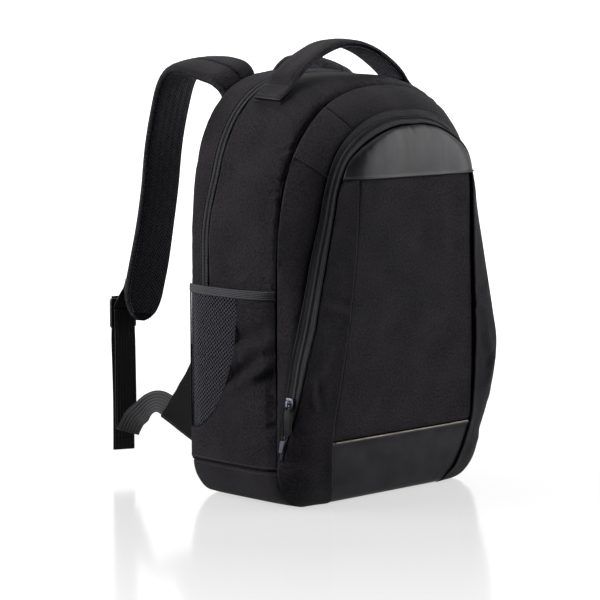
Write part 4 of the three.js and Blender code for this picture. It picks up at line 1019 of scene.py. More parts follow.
def blow_up(piece):
    """Fills a closed piece with air as cloth and keeps the result, with no point moved past PAD_BULGE."""
    scene = bpy.context.scene
    remesh = piece.modifiers.new("Even", "REMESH")
    remesh.mode, remesh.voxel_size = "VOXEL", PAD_CELL * MM
    keep_modified(piece)
    start = coordinates(piece.data)
    cloth = piece.modifiers.new("Cloth", "CLOTH")
    cloth.settings.quality = 4
    cloth.settings.use_pressure = True
    cloth.settings.uniform_pressure_force = AIR_PRESSURE
    cloth.settings.effector_weights.gravity = 0
    for number in range(1, AIR_FRAMES + 1):
        scene.frame_set(number)
    keep_modified(piece)
    scene.frame_set(1)
    move = coordinates(piece.data) - start
    far = np.linalg.norm(move, axis=1, keepdims=True)
    move *= np.minimum(1, PAD_BULGE * MM / np.maximum(far, 1e-9))
    piece.data.vertices.foreach_set("co", (start + move).ravel())
    fine = piece.modifiers.new("Fine", "SUBSURF")
    fine.levels = fine.render_levels = 1
    keep_modified(piece)


# The front

def make_surround():
    foot, corner, top = arch_share(60), arch_share(CORNER_HEIGHT), arch_share(TOP_PANEL_HEIGHT)

    def between(shares, steps, seed, bulge):
        """A panel between the main seam and the zip."""
        def place(u, v):
            edge = spline(OUTER_ARCH, u)
            seam = seam_beside(edge)
            width = np.linalg.norm(seam - edge, axis=-1)
            return seam + (edge - seam) * lerp(SEAM_ALLOWANCE / width, 1 - 0.2 / width, v)[..., None]
        panel = Panel(place, steps, shares)
        width = panel.over[:, -1:]
        across = np.clip(panel.over / np.maximum(width, 1), 0, 1)
        panel.lift(bulge * np.sin(np.pi * across) * smooth(width / 30))
        panel.rumple(0.3, 30, 0.8, seed)
        panel.seam("low", 0.7, 1.6, 0.6, 14, seed + 1)
        panel.seam("high", 1.3, 2.6, 0.3, 16, seed + 2)
        return panel

    side = between((foot, corner), (260, 34), 41, 2.2)
    side.seam("end", 0.8, 1.8, 0.1, 14, 44)
    side.fold((0, 2), (-150, 150), (-138, 196), 4, 0.9, 0.7)
    made = side.shell("front_side_cloth_left", material("cloth"), CLOTH_THICKNESS)
    settle_pair(made, "front_side_cloth", "front_side")
    quarter = between((corner, top), (70, 34), 51, 1.6)
    crown = between((top, 1 - top), (180, 30), 61, 2.0)
    for panel, seed in ((quarter, 54), (crown, 64)):
        panel.seam("start", 0.8, 1.8, 0.1, 14, seed)
        panel.seam("end", 0.8, 1.8, 0.1, 14, seed + 1)
    made = quarter.shell("front_corner_cloth_left", material("cloth"), CLOTH_THICKNESS)
    settle_pair(made, "front_corner_cloth", "front_corner")
    settle(crown.shell("front_top_cloth", material("cloth"), CLOTH_THICKNESS), "front_top")
    stitch(*both_sides(quarter.path("start", 2.0)), *both_sides(quarter.path("end", 2.0)))


ZIP_FOOT_HEIGHT = 54.5


def make_front_zip():
    def place(u, v):
        width = np.linalg.norm(spline(OUTER_ARCH, u) - spline(INNER_ARCH, u), axis=-1)
        return zip_band(u, lerp(0.35 / width, 1 - 0.6 / width, v))
    foot = arch_share(ZIP_FOOT_HEIGHT)
    tape = Panel(place, (420, 34), (foot, 1 - foot))
    width = tape.over[:, -1:]
    piping = ridge(tape.over - 1.2, 0.75) + ridge(width - tape.over - 1.2, 0.75)
    bed = ridge(tape.over - width / 2, 3.9, 4)
    tape.lift((1.5 * piping - 1.4 * bed) * smooth((width - 6) / 6) - 0.2)
    tape.rumple(0.12, 26, 0.4, 71)
    settle(tape.shell("front_zip_tape", material("zip tape"), 1.3), "front_zip", slot="zip_tape")
    count, column = len(tape.points), tape.points.shape[1] // 2
    keep = slice(int(count * 0.045), count - int(count * 0.045))
    middle, outs = tape.points[keep, column], tape.normal[keep, column]
    spacing = bpy.context.scene.backpack.coil_spacing / MM
    turn = (spacing * 0.7, COIL_WIDTH, COIL_HEIGHT)
    coil = rows("front_zip_coil", [(middle + outs * COIL_LIFT, outs)], spacing, turn, material("coil"))
    settle(coil, slot="zip_tape")
    stitch(tape.path("low", 3.4), tape.path("high", 3.4))


def face_height(low, high, v):
    return low + (high - low) * np.clip(v, 0, None) ** 1.8


def make_pocket_face():
    make_centre_panel()
    make_base_leather()
    make_pleats()
    make_top_leather()


def make_centre_panel():
    def place(u, v):
        z = lerp(LEATHER_STRIP_HEIGHT + 0.2, LEATHER_HEIGHT - 0.2, v)
        return face_point((2 * u - 1) * (centre_half(z) + 9.0), z)
    middle = Panel(place, (110, 120))
    x, z = np.abs(middle.points[..., 0]), middle.points[..., 2]
    under = smooth((x - centre_half(z) + 5) / 6)
    middle.lift(-0.5 - 2.6 * under * smooth((z - 76) / 30) - 0.5 * under)
    middle.rumple(0.5, 70, 1.6, 81)
    middle.rumple(0.12, 18, 2.2, 82)
    middle.seam("high", 0.9, 2.6, 0.2, 22, 83)
    middle.seam("low", 0.9, 2.6, 0.2, 22, 84)
    middle.fold((0, 2), (-66, 88), (-30, 140), 9, 0.5, 0.5)
    middle.fold((0, 2), (40, 330), (48, 250), 8, 0.4, 0.5)
    settle(middle.shell("front_centre_cloth", material("cloth"), CLOTH_THICKNESS), "pocket_center_panel")


def make_base_leather():
    def place(u, v):
        z = face_height(0.9, LEATHER_STRIP_HEIGHT - 0.2, v)
        return face_point((2 * u - 1) * (centre_half(z) + 2.0), z)
    base = Panel(place, (100, 56))
    far = base.reach("high")
    rise = smooth((base.points[..., 2] - 4) / 20)
    base.lift(1.1 * ridge(far, 5) + 0.25 * noise(base.along / 40, base.over / 26, 86) * rise)
    base.lift(-1.1 * ridge(far, 1.0))
    made = base.shell("base_leather", material("leather"), LEATHER_THICKNESS)
    settle(made, "pocket_base_leather", slot="faux_leather")
    # A rolled bead on the leather's top edge, lighter than the leather: a painted highlight.
    edge, outs = base.path("high", 0.9, 0.25)
    highlight_trim = tube("base_leather_trim", edge[3:-3], outs[3:-3], TRIM_RADIUS, material("highlight_trim"))
    settle(highlight_trim, slot="faux_leather")


def make_pleats():
    """The strips beside the centre panel, their edges folded over it."""
    def place(u, v):
        z = face_height(0.9, LEATHER_HEIGHT - 0.2, v)
        out, _ = pocket_edge(z)
        face = face_point(-lerp(centre_half(z) - 0.6, out - 0.9, u), z)
        seam = np.stack([-(SEAM_HALF_WIDTH - base_rounding(z)), 0 * z - 0.4, z], -1)
        back = smooth((INNER_DENSE[0, 2] + 2 - z) / 5) * smooth((u - 0.86) / 0.14)
        return lerp(face, seam, back[..., None])
    pleat = Panel(place, (40, 190))
    fold = 2.6 * ridge(pleat.along, 7.5, 1.6) - 0.9 * ridge(pleat.along, 0.8)
    pleat.lift(fold * smooth(pleat.points[..., 2] / 26))
    pleat.rumple(0.6, 34, 1.8, 91)
    pleat.rumple(0.25, 12, 1.6, 90)
    pleat.seam("end", 0.6, 2.2, 0.6, 15, 92)
    pleat.seam("high", 0.8, 2.4, 0.1, 15, 93)
    for crease in (
        ((-136, 150), (-124, 106), 5, -2.0, 0.8),
        ((-142, 128), (-118, 176), 6, 1.7, 0.8),
        ((-126, 224), (-94, 216), 5, -1.2, 0.8),
        ((-118, 196), (-92, 204), 4, 1.0, 0.7),
        ((-146, 52), (-118, 30), 7, 0.8, 0.7),
    ):
        pleat.fold((0, 2), *crease)
    made = pleat.shell("front_strip_cloth_left", material("cloth"), 1.7)
    settle_pair(made, "front_strip_cloth", "pocket_strip")


def make_top_leather():
    ends = arch_share(LEATHER_HEIGHT + 4) + 0.02
    bottom = float(pocket_edge(np.array(LEATHER_HEIGHT))[0]) - 0.9
    low = LEATHER_HEIGHT - 0.6

    def place(u, v):
        arch = spline(INNER_ARCH, lerp(ends, 1 - ends, u))
        z = lerp(low, np.maximum(arch[..., 2] - 0.3, low), v)
        return face_point(lerp((2 * u - 1) * bottom, arch[..., 0], v), z)
    top = Panel(place, (120, 54))
    far, x = top.reach("high"), top.points[..., 0]
    width = smooth(np.maximum(top.over[:, -1:], 1) / 20)
    gathers = noise(x / 11, far / 40, 101) + 0.6 * noise(x / 5, far / 30, 102)
    top.lift(0.55 * gathers * np.exp(-far / 20) * width)
    top.lift(0.5 * noise(top.points[..., 0] / 26, top.points[..., 2] / 34, 103) * width)
    top.seam("high", 1.2, 2.6, 0.0)
    top.lift(1.5 * ridge(top.over - 1.5, 1.3) - 0.8 * ridge(top.over, 0.6))
    made = top.shell("top_leather", material("leather"), LEATHER_THICKNESS)
    settle(made, "pocket_top_leather", slot="faux_leather")


# Side pockets

POCKET_BACK = BODY_DEPTH - 1
PLAIN_SHARE = 0.25  # of the pocket's cloth, ahead of its net


def make_side_pockets():
    make_pocket_cloth()
    make_net()
    make_binding()


def make_pocket_cloth():
    def place(u, v):
        y, z = mesh_seam((u - PLAIN_SHARE) / (1 - PLAIN_SHARE), -0.2)
        ahead = u < PLAIN_SHARE
        y = np.where(ahead, lerp(SEAM_ALLOWANCE, POCKET_BACK - MESH_DEPTH - 0.2, u / PLAIN_SHARE), y)
        top = np.where(ahead, SIDE_TOP - 0.2, z - 0.2)
        return side_pocket_point(y, lerp(SIDE_FOOT + 0.2, top, v))
    cloth = Panel(place, (100, 96))
    y, z = cloth.points[..., 1], cloth.points[..., 2]
    loose = smooth((z - SIDE_FOOT) / 60)
    cloth.lift((0.8 * noise(y / 26, z / 36, 111) + 0.35 * noise(y / 11 + z / 30, z / 14, 112)) * loose)
    for crease in (
        ((64, 120), (2, 158), 7.0, 3.6, 0.9),
        ((60, 134), (24, 158), 5.5, -2.4, 0.5),
        ((58, 166), (1, 176), 6.0, 2.5, 0.9),
        ((54, 182), (4, 192), 8.0, -2.0, 0.4),
        ((24, 132), (0, 146), 4.0, -2.4, 0.6),
        ((14, 166), (0, 162), 3.5, -2.0, 0.7),
        ((13, 88), (0, 92), 2.8, -1.5, 0.7),
        ((7, 150), (6, 84), 5.0, -1.3, 0.4),
        ((14, 118), (3, 104), 4.0, 0.9, 0.7),
    ):
        cloth.fold((1, 2), *crease)
    far = np.where(y < 60, y - SEAM_ALLOWANCE, 60)
    cloth.lift(-4.2 * np.exp(-((far / 8.0) ** 1.5)) + 0.6 * noise(z / 13, 0, 113) * np.exp(-far / 12))
    cloth.seam("low", 0.8, 2.0, 0.2, 18, 114)
    cloth.seam("high", 0.5, 1.5, 0.0)
    made = cloth.shell("side_pocket_cloth_left", material("cloth"), 1.1)
    settle_pair(made, "side_pocket_cloth", "side_pocket_fabric")
    line, outs = cloth.path("high", 1.6)
    first = int(len(line) * PLAIN_SHARE) + 2
    stitch(*both_sides((line[first:], outs[first:])), *both_sides(cloth.path("low", STITCH_INSET)))


def make_net():
    """The net's strands, on two slants, and the rim round them."""
    strands = []
    pitch = bpy.context.scene.backpack.net_spacing / MM
    for slope in (1.15, -0.8):
        for offset in np.arange(-600, 900, pitch * math.hypot(1, slope)):
            y = np.linspace(POCKET_BACK - MESH_DEPTH, POCKET_BACK - 0.4, 56)
            z = slope * y + offset
            share = np.clip((POCKET_BACK - y) / MESH_DEPTH, 0, 1)
            low = SIDE_TOP - MESH_DROP * (1 - share**MESH_ROUNDNESS) ** (1 / MESH_ROUNDNESS)
            inside = (z > low + 0.3) & (z < SIDE_TOP + 1.5)
            if inside.sum() < 3:
                continue
            y, z = y[inside], z[inside]
            depth = 0.25 * np.sin(y * 2 * np.pi / pitch) - 0.5 - 2.0 * smooth((y - 108) / 18)
            strands.append((side_pocket_point(y, z, depth), np.tile([-1.0, 0, 0], (len(y), 1))))
    net = rows("side_pocket_net_left", strands, STRAND_RADIUS, (1, 1, 1), material("net"), with_shape=False)
    settle_pair(net, "side_pocket_net", "side_pocket_mesh", "net_cloth")
    y, z = mesh_seam(np.linspace(0.97, 0.02, 90))
    y = np.concatenate([np.full(60, POCKET_BACK - 0.6), y])
    z = np.concatenate([np.linspace(SIDE_TOP, z[0] + 1.5, 60), z])
    rim = side_pocket_point(y, z)
    outs = np.tile([-1.0, 0, 0], (len(rim), 1))
    cord = tube("side_pocket_rim_left", rim, outs, RIM_RADIUS, material("cloth"))
    settle_pair(cord, "side_pocket_rim", slot="webbing")


def make_binding():
    def place(u, v):
        height = lerp(SIDE_TOP - 0.4, SIDE_TOP + BINDING_HEIGHT, v)
        return side_pocket_point(lerp(SEAM_ALLOWANCE, POCKET_BACK, u), height)
    tape = Panel(place, (100, 16))
    tape.lift(0.2 + 1.0 * np.clip(np.sin(np.pi * tape.v), 0, 1) ** 0.4)
    tape.lift(-0.35 * ridge(tape.v - 0.5, 0.05))
    tape.rumple(0.35, 24, 1.0, 121)
    tape.seam("start", 3.4, 7.0, 0.0)
    made = tape.shell("side_pocket_binding_cloth_left", material("binding"), 2.4)
    settle_pair(made, "side_pocket_binding_cloth", "side_pocket_binding", "webbing")
    stitch(*both_sides(tape.path("low", 1.7)))


# Straps, handle and webbing

def strap_stations(count, margin=0.0, offset=0.0):
    """Middles, half widths and outward directions along the strap."""
    share = np.linspace(0, 1, count + 1)
    out, back, up, rise, swing, width = through(STRAP_LINE, share * (len(STRAP_LINE) - 1)).T
    rounding = np.clip((share - 0.915) / 0.085, 0, 1)
    rounded = np.maximum(np.sqrt(1 - rounding**2), 0.12)
    half = np.maximum((width * STRAP_WIDTH / 2 - margin) * rounded, 2.0)
    middles = np.stack([-out * STRAP_SPREAD, BODY_DEPTH + back * STRAP_REACH, up * STRAP_CREST], -1)
    across = np.stack([np.sqrt(1 - rise**2 - swing**2), swing, rise], -1)
    outs = unit(np.cross(across, unit(np.gradient(middles, axis=0))))
    if outs[0, 1] > 0:
        outs = -outs
    return middles + outs * offset, across * half[:, None], outs


def make_straps():
    middles, across, outs = strap_stations(200)
    half = np.linalg.norm(across, axis=1)
    run = run_of(middles)
    s = np.linspace(-1, 1, 41)
    side = s * half[:, None]
    edge = half[:, None] - np.abs(side)
    crown = 2 + 5.5 * np.sqrt(np.clip(1 - np.abs(s) ** 2.5, 0, 1))
    round_edge = np.sqrt(np.clip(1 - (1 - np.clip(edge / 3.2, 0, 1)) ** 2, 0, 1))
    slit = ridge(side - 2, 1.4) * (smooth((run - 42) / 5) * smooth((112 - run) / 5))[:, None]
    dimple = ridge(run - run[-1] + 38, 5)[:, None] * ridge(side, 12)
    top = lerp(0.2, crown, round_edge) - ridge(edge - 6.0, 1.1) - 2.6 * slit - 2.2 * dimple
    top = top + 0.3 * noise(run[:, None] / 24, s * 2, 131)
    height = np.hstack([top, -lerp(0.2, 3.5, round_edge)])
    cloth = material("cloth")
    pad = band("strap_cloth_left", middles, across, outs, there_and_back(s), height, cloth, MERGE_DISTANCE)
    for piece in settle_pair(pad, "strap_cloth", "strap_pad"):
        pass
    keep = slice(4, int(len(middles) * 0.93))
    for flank in (-1, 1):
        line = middles + unit(across) * (half - 6.0).clip(0)[:, None] * flank + outs * (2 + 5.5 * 0.72)
        stitch(*both_sides((line[keep], outs[keep])))

    middles, across, outs = strap_stations(200, 3.0, -3.9)
    s = np.linspace(-1, 1, 25)
    height = np.concatenate([-0.5 - 0.9 * (1 - s**4), np.full(25, 0.6)])
    keep = slice(6, 197)
    mesh = band("strap_lining_left", middles[keep], across[keep], outs[keep], there_and_back(s), height,
                material("strap mesh"))
    settle_pair(mesh, "strap_lining", "strap_mesh", "net_cloth")


HANDLE_LIFT = 4.25  # of the handle's middle over the gusset, at its feet
HANDLE_STEPS = 24


def handle_foot(out):
    """A point over the gusset at a distance from the bag's middle, and the direction across it."""
    lap = float(lap_across(out, HANDLE_MIDDLE))
    depths = HANDLE_MIDDLE + np.array([-0.5, 0, 0.5]) * HANDLE_WIDTH
    grid = body_outline(*np.meshgrid([lap - 0.004, lap, lap + 0.004], depths, indexing="ij"))
    across = grid[1, 2] - grid[1, 0]
    normal = unit(np.cross(grid[2, 1] - grid[0, 1], across))
    normal *= np.sign(np.dot(normal, grid[1, 1] - HEART))
    return grid[1, 1] + normal * HANDLE_LIFT, unit(across)


def handle_stations(width, offset=0.0, reach=16.0):
    """Middles, half widths and outward directions along the handle."""
    feet = [handle_foot(HANDLE_SPREAD + d) for d in np.linspace(reach, 0, 7)]
    foot_z = feet[-1][0][2]
    out, lift = through(HANDLE_LINE, np.linspace(0, len(HANDLE_LINE) - 1, HANDLE_STEPS + 1)).T
    rise = foot_z + lift * (HANDLE_CREST - foot_z)
    arch = np.stack([out * HANDLE_SPREAD, 0 * out + HANDLE_MIDDLE, rise], -1)
    level = unit(lerp(feet[-1][1][None], np.array([[0, 1.0, 0]]), np.clip(2 * lift, 0, 1)[:, None]))
    right = np.vstack([[f[0] for f in feet], arch])
    sides = np.vstack([[f[1] for f in feet], level])
    whole = np.vstack([mirrored(right[:-1]), right[::-1]])
    across = np.vstack([mirrored(sides[:-1]), sides[::-1]])
    share, base = np.linspace(0, 1, 161), np.linspace(0, 1, len(whole))
    line = np.stack([np.interp(share, base, whole[:, k]) for k in range(3)], -1)
    for _ in range(3):
        line[1:-1] = (line[:-2] + 2 * line[1:-1] + line[2:]) / 4
    across = unit(np.stack([np.interp(share, base, across[:, k]) for k in range(3)], -1))
    outs = unit(np.cross(np.gradient(line, axis=0), across))
    outs *= np.where(outs[:, 2:] < 0, -1, 1)
    return line + outs * offset, across * width / 2, outs


def make_handle():
    middles, across, outs = handle_stations(HANDLE_WIDTH)
    run = run_of(middles)
    s = np.linspace(-1, 1, 33)
    edge = (1 - np.abs(s)) * HANDLE_WIDTH / 2
    round_edge = np.sqrt(np.clip(1 - (1 - np.clip(edge / 3.4, 0, 1)) ** 2, 0, 1))
    soft = smooth((run - 14) / 26) * smooth((run[-1] - 14 - run) / 26)
    crown = 2 + (0.4 + 2.8 * soft)[:, None] * np.sqrt(np.clip(1 - np.abs(s) ** 2.5, 0, 1))
    top = round_edge * crown - 0.8 * ridge(edge - 4.2, 0.9) + 0.3 * noise(run[:, None] / 14, s * 2, 141)
    height = np.hstack([top, np.broadcast_to(-2.0 * round_edge, top.shape)])
    shares = there_and_back(s)
    piece = band("handle_cloth", middles, across, outs, shares, height, material("cloth"), MERGE_DISTANCE)
    settle(piece, "handle")
    for side in (-1, 1):
        line = middles + unit(across) * side * (HANDLE_WIDTH / 2 - 4.2) + outs * 2.9
        stitch((line[2:-2], outs[2:-2]))
    sweep = np.linspace(-0.8, 0.8, 24)[:, None]
    for at, lift in ((2, 3.4), (-3, 3.4), (14, 3.7), (-15, 3.7)):
        stitch((middles[at] + across[at] * sweep + outs[at] * lift, np.tile(outs[at], (24, 1))))

    middles, across, outs = handle_stations(HANDLE_WIDTH - 5, -3.0)
    s = np.linspace(-1, 1, 17)
    height = np.concatenate([-0.4 - 0.8 * (1 - s**4), np.full(17, 0.5)])
    keep = slice(26, len(middles) - 26)
    mesh = band("handle_lining", middles[keep], across[keep], outs[keep], there_and_back(s), height,
                material("handle mesh"))
    settle(mesh, "handle_mesh", slot="net_cloth")
    outer, inner = (float(lap_across(HANDLE_SPREAD + d, HANDLE_MIDDLE)) for d in (18.0, -2.0))
    for side, name in ((-1, "left"), (1, "right")):
        def place(u, v):
            lap = lerp(outer, inner, u)
            return body_outline(lap if side > 0 else 8 - lap, HANDLE_MIDDLE + (v - 0.5) * (HANDLE_WIDTH + 1))
        patch = Panel(place, (16, 24))
        patch.lift(0.9 * np.ones_like(patch.u))
        settle(patch.shell(f"handle_patch_{name}", material("cloth"), 1.0), f"handle_foot_{name}")


def across_line(turn, lean, width):
    turn, lean = np.radians(turn), np.radians(lean)
    return np.stack([np.cos(lean) * np.cos(turn), np.cos(lean) * np.sin(turn), np.sin(lean)], -1) * width / 2


def web_points(table, count):
    out, back, up, turn, lean = through(table, np.linspace(0, len(table) - 1, count + 1)).T
    middles = np.stack([-out * BACK_HALF_WIDTH, BODY_DEPTH + back * STRAP_REACH, up * STRAP_CREST], -1)
    return middles, across_line(turn, lean, WEB_WIDTH)


BUCKLE_FACING = unit(np.cross([0, 0, 1], across_line(BUCKLE_TURN, -180.0, 2.0)))
BAR_TURNS = 14


def turn_round_bar(bar_edge, over):
    """The webbing's half turn over the buckle's bar (1), or under it (-1)."""
    radius = BUCKLE_THICKNESS / 2 + 0.35 + WEB_THICKNESS / 2
    angle = np.linspace(0, np.pi, BAR_TURNS + 1)[:, None]
    middles = BUCKLE_MIDDLE - BUCKLE_FACING * radius * np.cos(angle)
    middles = middles + np.array([0, 0, 1.0]) * (bar_edge + over * radius * np.sin(angle))
    return middles, np.tile(across_line(BUCKLE_TURN, -180.0, WEB_WIDTH), (BAR_TURNS + 1, 1))


def make_webbing_run(name, node, parts, stitched):
    """A flat ribbon with soft edges through the given middles and half widths, hemmed at the given rows."""
    middles = np.vstack([m for m, _ in parts])
    across = np.vstack([a for _, a in parts])
    outs = unit(np.cross(across, unit(np.gradient(middles, axis=0))))
    for i in np.where(np.sum(outs[1:] * outs[:-1], axis=1) < 0)[0]:
        outs[i + 1:] *= -1
    s = np.linspace(-1, 1, 15)
    cord = WEB_THICKNESS / 2 - 0.25 * np.abs(s) ** 8
    height = np.concatenate([cord, -cord])
    belt = band(f"{name}_left", middles, across, outs, there_and_back(s), height, material("webbing"))
    settle_pair(belt, name, node, "webbing")
    hem = np.linspace(-0.86, 0.86, 16)[:, None]
    for row in stitched:
        for face in (outs[row], -outs[row]):
            line = middles[row] + across[row] * hem + face * 0.85
            stitch(*both_sides((line, np.tile(face, (16, 1)))))


def make_webbing():
    tail = [web_points(WEB_LINE, 90), turn_round_bar(BUCKLE_BAR / 2, 1), web_points(TAIL_LINE, 40)]
    make_webbing_run("webbing", "strap_webbing", tail, (-5, -7))
    lead = turn_round_bar(BUCKLE_HEIGHT / 2 - BUCKLE_BAR - LOOP_SLACK, -1)
    end = (lead[0][-1:] + [0, 0, BUCKLE_BAR + 2 + LOOP_SLACK], lead[1][-1:])
    make_webbing_run("buckle_loop", "strap_loop", [web_points(LOOP_LINE, 12), lead, end], (2, 8))
    make_wings()


def make_wings():
    """The stitched wings of cloth that hold the webbing to the bag's back edge."""
    middles, across = web_points(WEB_LINE, 22)
    end = middles[0] + unit(middles[1] - middles[0]) * 5
    reach = unit(across[0]) * (WEB_WIDTH / 2 + 2)
    root_high, root_low = (np.array([-BACK_HALF_WIDTH + 1.3, BODY_DEPTH - 1, z]) for z in (150.0, 58.0))

    def place(u, v):
        high = lerp(root_high, end - reach, u[..., None])
        low = lerp(root_low, end + reach, u[..., None])
        return lerp(low, high, v[..., None])
    wing = Panel(place, (36, 50), heart=np.array([0, BODY_DEPTH, 100.0]))
    wing.lift(1.2 + 0.5 * noise(wing.points[..., 1] / 12, wing.points[..., 2] / 16, 151))
    edges = ("low", "high", "end")
    for edge in edges:
        wing.lift(-0.9 * ridge(wing.reach(edge), 1.3))
    # The wings' cloth is darker than the body's: painted shade.
    settle_pair(wing.shell("wing_left", material("painted shade cloth"), 2.4), "wing", "strap_tab", "webbing")
    for edge in edges:
        stitch(*both_sides(wing.path(edge, 3.0)))


# Fittings

def soft_copy(node, name, finish, width, slot, body="bag"):
    """Puts a copy of a hard solid in its place, merged and with soft edges."""
    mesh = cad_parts[node].data.copy()
    mesh.materials.clear()
    mesh.materials.append(material(finish))
    work = bmesh.new()
    work.from_mesh(mesh)
    bmesh.ops.remove_doubles(work, verts=work.verts, dist=2e-6)
    bmesh.ops.dissolve_limit(work, angle_limit=math.radians(2), verts=work.verts, edges=work.edges)
    bmesh.ops.recalc_face_normals(work, faces=work.faces)
    work.to_mesh(mesh)
    work.free()
    piece = bpy.data.objects.new(name, mesh)
    bpy.context.scene.collection.objects.link(piece)
    bevel = piece.modifiers.new("Edges", "BEVEL")
    bevel.width, bevel.segments, bevel.limit_method = width * MM, 3, "ANGLE"
    bevel.angle_limit = math.radians(32)
    settle(keep_modified(piece), node, slot=slot, body=body)


def make_fittings():
    for side in ("left", "right"):
        soft_copy(f"strap_buckle_{side}", f"buckle_{side}", "buckle", 0.7, "buckle_nylon")
    soft_copy("front_zip_slider", "front_slider", "metal", 0.28, "gunmetal")
    soft_copy("main_zip_slider", "main_slider", "metal", 0.28, "gunmetal")
    soft_copy("front_zip_pull", "front_pull", "pull", 0.4, "pull_rubber", "zip_pull")
    low, high = arch_share(63), arch_share(76)
    tab = Panel(lambda u, v: zip_band(lerp(low, high, u), lerp(0.12, 0.86, v)), (16, 16))
    tab.lift(2.2 + 0.4 * np.sin(np.pi * tab.u))
    settle(tab.shell("zip_stop", material("end tab"), TAPE_THICKNESS), "zip_end_tab", slot="webbing")


def make_stitches():
    chosen = bpy.context.scene.backpack
    paths = [(points + outs * 0.12, outs) for points, outs in STITCHES]
    size = (chosen.stitch_length / MM, STITCH_WIDTH, STITCH_HEIGHT)
    settle(rows("seam_stitches", paths, chosen.stitch_spacing / MM, size, material("thread")))


# Floor, lights and camera

AZIMUTH, DOWN = math.radians(-44.0), math.radians(6.82)  # of the photo's camera
SIGHT = Vector((-math.sin(AZIMUTH), math.cos(AZIMUTH), 0.0))
EYE = Vector((-1872.5, -1814.5 + SEAM_Y, 521.7)) * MM
FOCAL_LENGTH, PICTURE_WIDTH, SENSOR_WIDTH = 2443, 600, 36  # two in pixels, one in millimetres
FLOOR_REACH, FLOOR_GAP = 30.0, 0.0004

# Softboxes: name, place, size in metres, watts
LAMPS = (
    ("Left softbox", (-1.75, 1.15, 1.0), 1.7, 280),
    ("Right softbox", (1.4, -1.55, 0.9), 2.1, 205),
    ("Top softbox", (0.0, 0.5, 2.0), 2.4, 56),
)


def along_sight(tree, place):
    node = add_node(tree, "ShaderNodeVectorMath", {"operation": "DOT_PRODUCT"}, _0=place, _1=SIGHT)
    return node.outputs["Value"]


def make_floor():
    """A white sweep that glows, as painted light that also lights the bag: dimmer near the bag as painted
    shade round it and on the camera's side, and brighter with the distance, so that it meets the background.
    """
    mesh = bpy.data.meshes.new("floor")
    corners = [(x * FLOOR_REACH, y * FLOOR_REACH, 0) for x, y in ((-1, -1), (1, -1), (1, 1), (-1, 1))]
    mesh.from_pydata(corners, [], [(0, 1, 2, 3)])
    floor = bpy.data.objects.new("floor", mesh)
    floor.location.z = -FLOOR_GAP
    bpy.context.scene.collection.objects.link(floor)
    surface, tree, shader = new_material("White satin sweep")
    place = add_node(tree, "ShaderNodeTexCoord").outputs["Object"]
    far = add_node(tree, "ShaderNodeVectorMath", {"operation": "LENGTH"}, _0=place).outputs["Value"]
    # Painted light: the floor glows, dimmer near the bag as painted shade round it and brighter far off.
    glow = stretch_node(tree, far, 0.35, 1.3, 0.62, 1.02)
    # Painted shade: the glow is dimmer on the camera's side, which also dims the light that it sends to the
    # bag.
    edge = stretch_node(tree, along_sight(tree, place), -1.2, -0.7, 0.6, 1.0)
    tree.links.new(math_node(tree, "MULTIPLY", glow, edge), shader.inputs["Emission Strength"])
    set_shader(shader, Base_Color=(0.05, 0.05, 0.05, 1), Emission_Color=(1, 1, 1, 1), Roughness=0.14,
               IOR=1.45, Specular_IOR_Level=0.2)
    mesh.materials.append(surface)


def make_stage():
    scene = bpy.context.scene
    make_floor()
    scene.world = scene.world or bpy.data.worlds.new("Studio")
    scene.world.use_nodes = True
    tree = scene.world.node_tree
    tree.nodes.clear()
    place = add_node(tree, "ShaderNodeTexCoord").outputs["Generated"]
    glow = stretch_node(tree, along_sight(tree, place), 0.0, 0.8, 0.42, 1.02)
    light = add_node(tree, "ShaderNodeBackground", Color=(1, 1, 1, 1), Strength=glow)
    tree.links.new(light.outputs[0], tree.nodes.new("ShaderNodeOutputWorld").inputs[0])
    for name, place, size, power in LAMPS:
        lamp = bpy.data.lights.new(name, "AREA")
        lamp.shape, lamp.size, lamp.energy = "SQUARE", size, power
        box = bpy.data.objects.new(name, lamp)
        box.location = place
        box.rotation_euler = (Vector((0, 0, 0.25)) - box.location).to_track_quat("-Z", "Y").to_euler()
        box.visible_camera = False
        scene.collection.objects.link(box)
    scene.view_settings.view_transform = "Standard"
    camera = bpy.data.cameras.new("Camera")
    camera.lens, camera.sensor_width = SENSOR_WIDTH * FOCAL_LENGTH / PICTURE_WIDTH, SENSOR_WIDTH
    camera.clip_start, camera.clip_end = 0.05, 60
    eye = bpy.data.objects.new("Camera", camera)
    eye.location = EYE
    look = SIGHT * math.cos(DOWN) - Vector((0, 0, math.sin(DOWN)))
    eye.rotation_euler = look.to_track_quat("-Z", "Y").to_euler()
    scene.collection.objects.link(eye)
    scene.camera = eye


# The add-on

def colour_setting(name, description, code):
    return bpy.props.FloatVectorProperty(
        name=name, description=description, subtype="COLOR", size=4, min=0, max=1, default=colour(code))


def length_setting(name, description, size):
    return bpy.props.FloatProperty(
        name=name, description=description, unit="LENGTH", subtype="DISTANCE", min=0.1 * MM,
        default=size * MM)


class BackpackSettings(bpy.types.PropertyGroup):
    """Sizes and colours that a user may change."""
    cloth_dark: colour_setting("Cloth, dark yarn", "Darker yarn of the woven polyester", "030203")
    cloth_light: colour_setting("Cloth, light yarn", "Lighter yarn of the woven polyester", "171518")
    leather_dark: colour_setting("Leather, hollows", "Darker tone of the coated leather", "08080a")
    leather_light: colour_setting("Leather, ridges", "Lighter tone of the coated leather", "121215")
    stitch_spacing: length_setting("Stitch spacing", "From one stitch to the next", 3.6)
    stitch_length: length_setting("Stitch length", "Length of one stitch", 2.6)
    coil_spacing: length_setting("Zip coil spacing", "From one turn of the zip's coil to the next", 2.1)
    net_spacing: length_setting("Net spacing", "From one strand of the side pocket's net to the next", 3.3)


class BACKPACK_OT_body(bpy.types.Operator):
    """Make the gussets, sides, base, seam cord and padded back"""
    bl_idname = "backpack.body"
    bl_label = "Body"

    def execute(self, context):
        make_gussets()
        make_side_and_base()
        make_piping()
        make_back_pad()
        return {"FINISHED"}


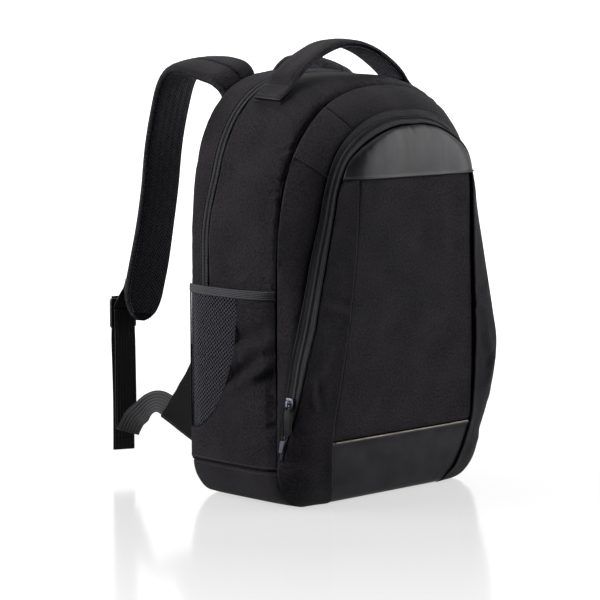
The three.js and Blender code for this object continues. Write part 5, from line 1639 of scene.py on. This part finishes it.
class BACKPACK_OT_front(bpy.types.Operator):
    """Make the front panels, the leather and the front zip"""
    bl_idname = "backpack.front"
    bl_label = "Front"

    def execute(self, context):
        make_surround()
        make_front_zip()
        make_pocket_face()
        return {"FINISHED"}


class BACKPACK_OT_side_pockets(bpy.types.Operator):
    """Make the side pockets with their net and binding"""
    bl_idname = "backpack.side_pockets"
    bl_label = "Side pockets"

    def execute(self, context):
        make_side_pockets()
        return {"FINISHED"}


class BACKPACK_OT_straps(bpy.types.Operator):
    """Make the shoulder straps, the handle and the webbing"""
    bl_idname = "backpack.straps"
    bl_label = "Straps and handle"

    def execute(self, context):
        make_straps()
        make_handle()
        make_webbing()
        return {"FINISHED"}


class BACKPACK_OT_fittings(bpy.types.Operator):
    """Make the buckles, sliders, pull and zip stop"""
    bl_idname = "backpack.fittings"
    bl_label = "Fittings"

    def execute(self, context):
        make_fittings()
        return {"FINISHED"}


class BACKPACK_OT_stitches(bpy.types.Operator):
    """Make the stitches of every seam"""
    bl_idname = "backpack.stitches"
    bl_label = "Stitches"

    def execute(self, context):
        make_stitches()
        return {"FINISHED"}


class BACKPACK_OT_stage(bpy.types.Operator):
    """Make the floor, the lights and the camera"""
    bl_idname = "backpack.stage"
    bl_label = "Stage"

    def execute(self, context):
        make_stage()
        return {"FINISHED"}


OPERATORS = (BACKPACK_OT_stage, BACKPACK_OT_body, BACKPACK_OT_front, BACKPACK_OT_side_pockets,
             BACKPACK_OT_straps, BACKPACK_OT_fittings, BACKPACK_OT_stitches)


class BACKPACK_PT_panel(bpy.types.Panel):
    """Shows the backpack's settings and a button for each group of its pieces"""
    bl_label = "Backpack"
    bl_space_type = "VIEW_3D"
    bl_region_type = "UI"
    bl_category = "Backpack"

    def draw(self, context):
        for name in BackpackSettings.__annotations__:
            self.layout.prop(context.scene.backpack, name)
        for operator in OPERATORS:
            self.layout.operator(operator.bl_idname)


CLASSES = (BackpackSettings, *OPERATORS, BACKPACK_PT_panel)


def register():
    for kind in CLASSES:
        bpy.utils.register_class(kind)
    bpy.types.Scene.backpack = bpy.props.PointerProperty(type=BackpackSettings)


def unregister():
    del bpy.types.Scene.backpack
    for kind in reversed(CLASSES):
        bpy.utils.unregister_class(kind)


def main():
    register()
    for operator in OPERATORS:
        group, name = operator.bl_idname.split(".")
        getattr(getattr(bpy.ops, group), name)()


if __name__ == "__main__":
    main()
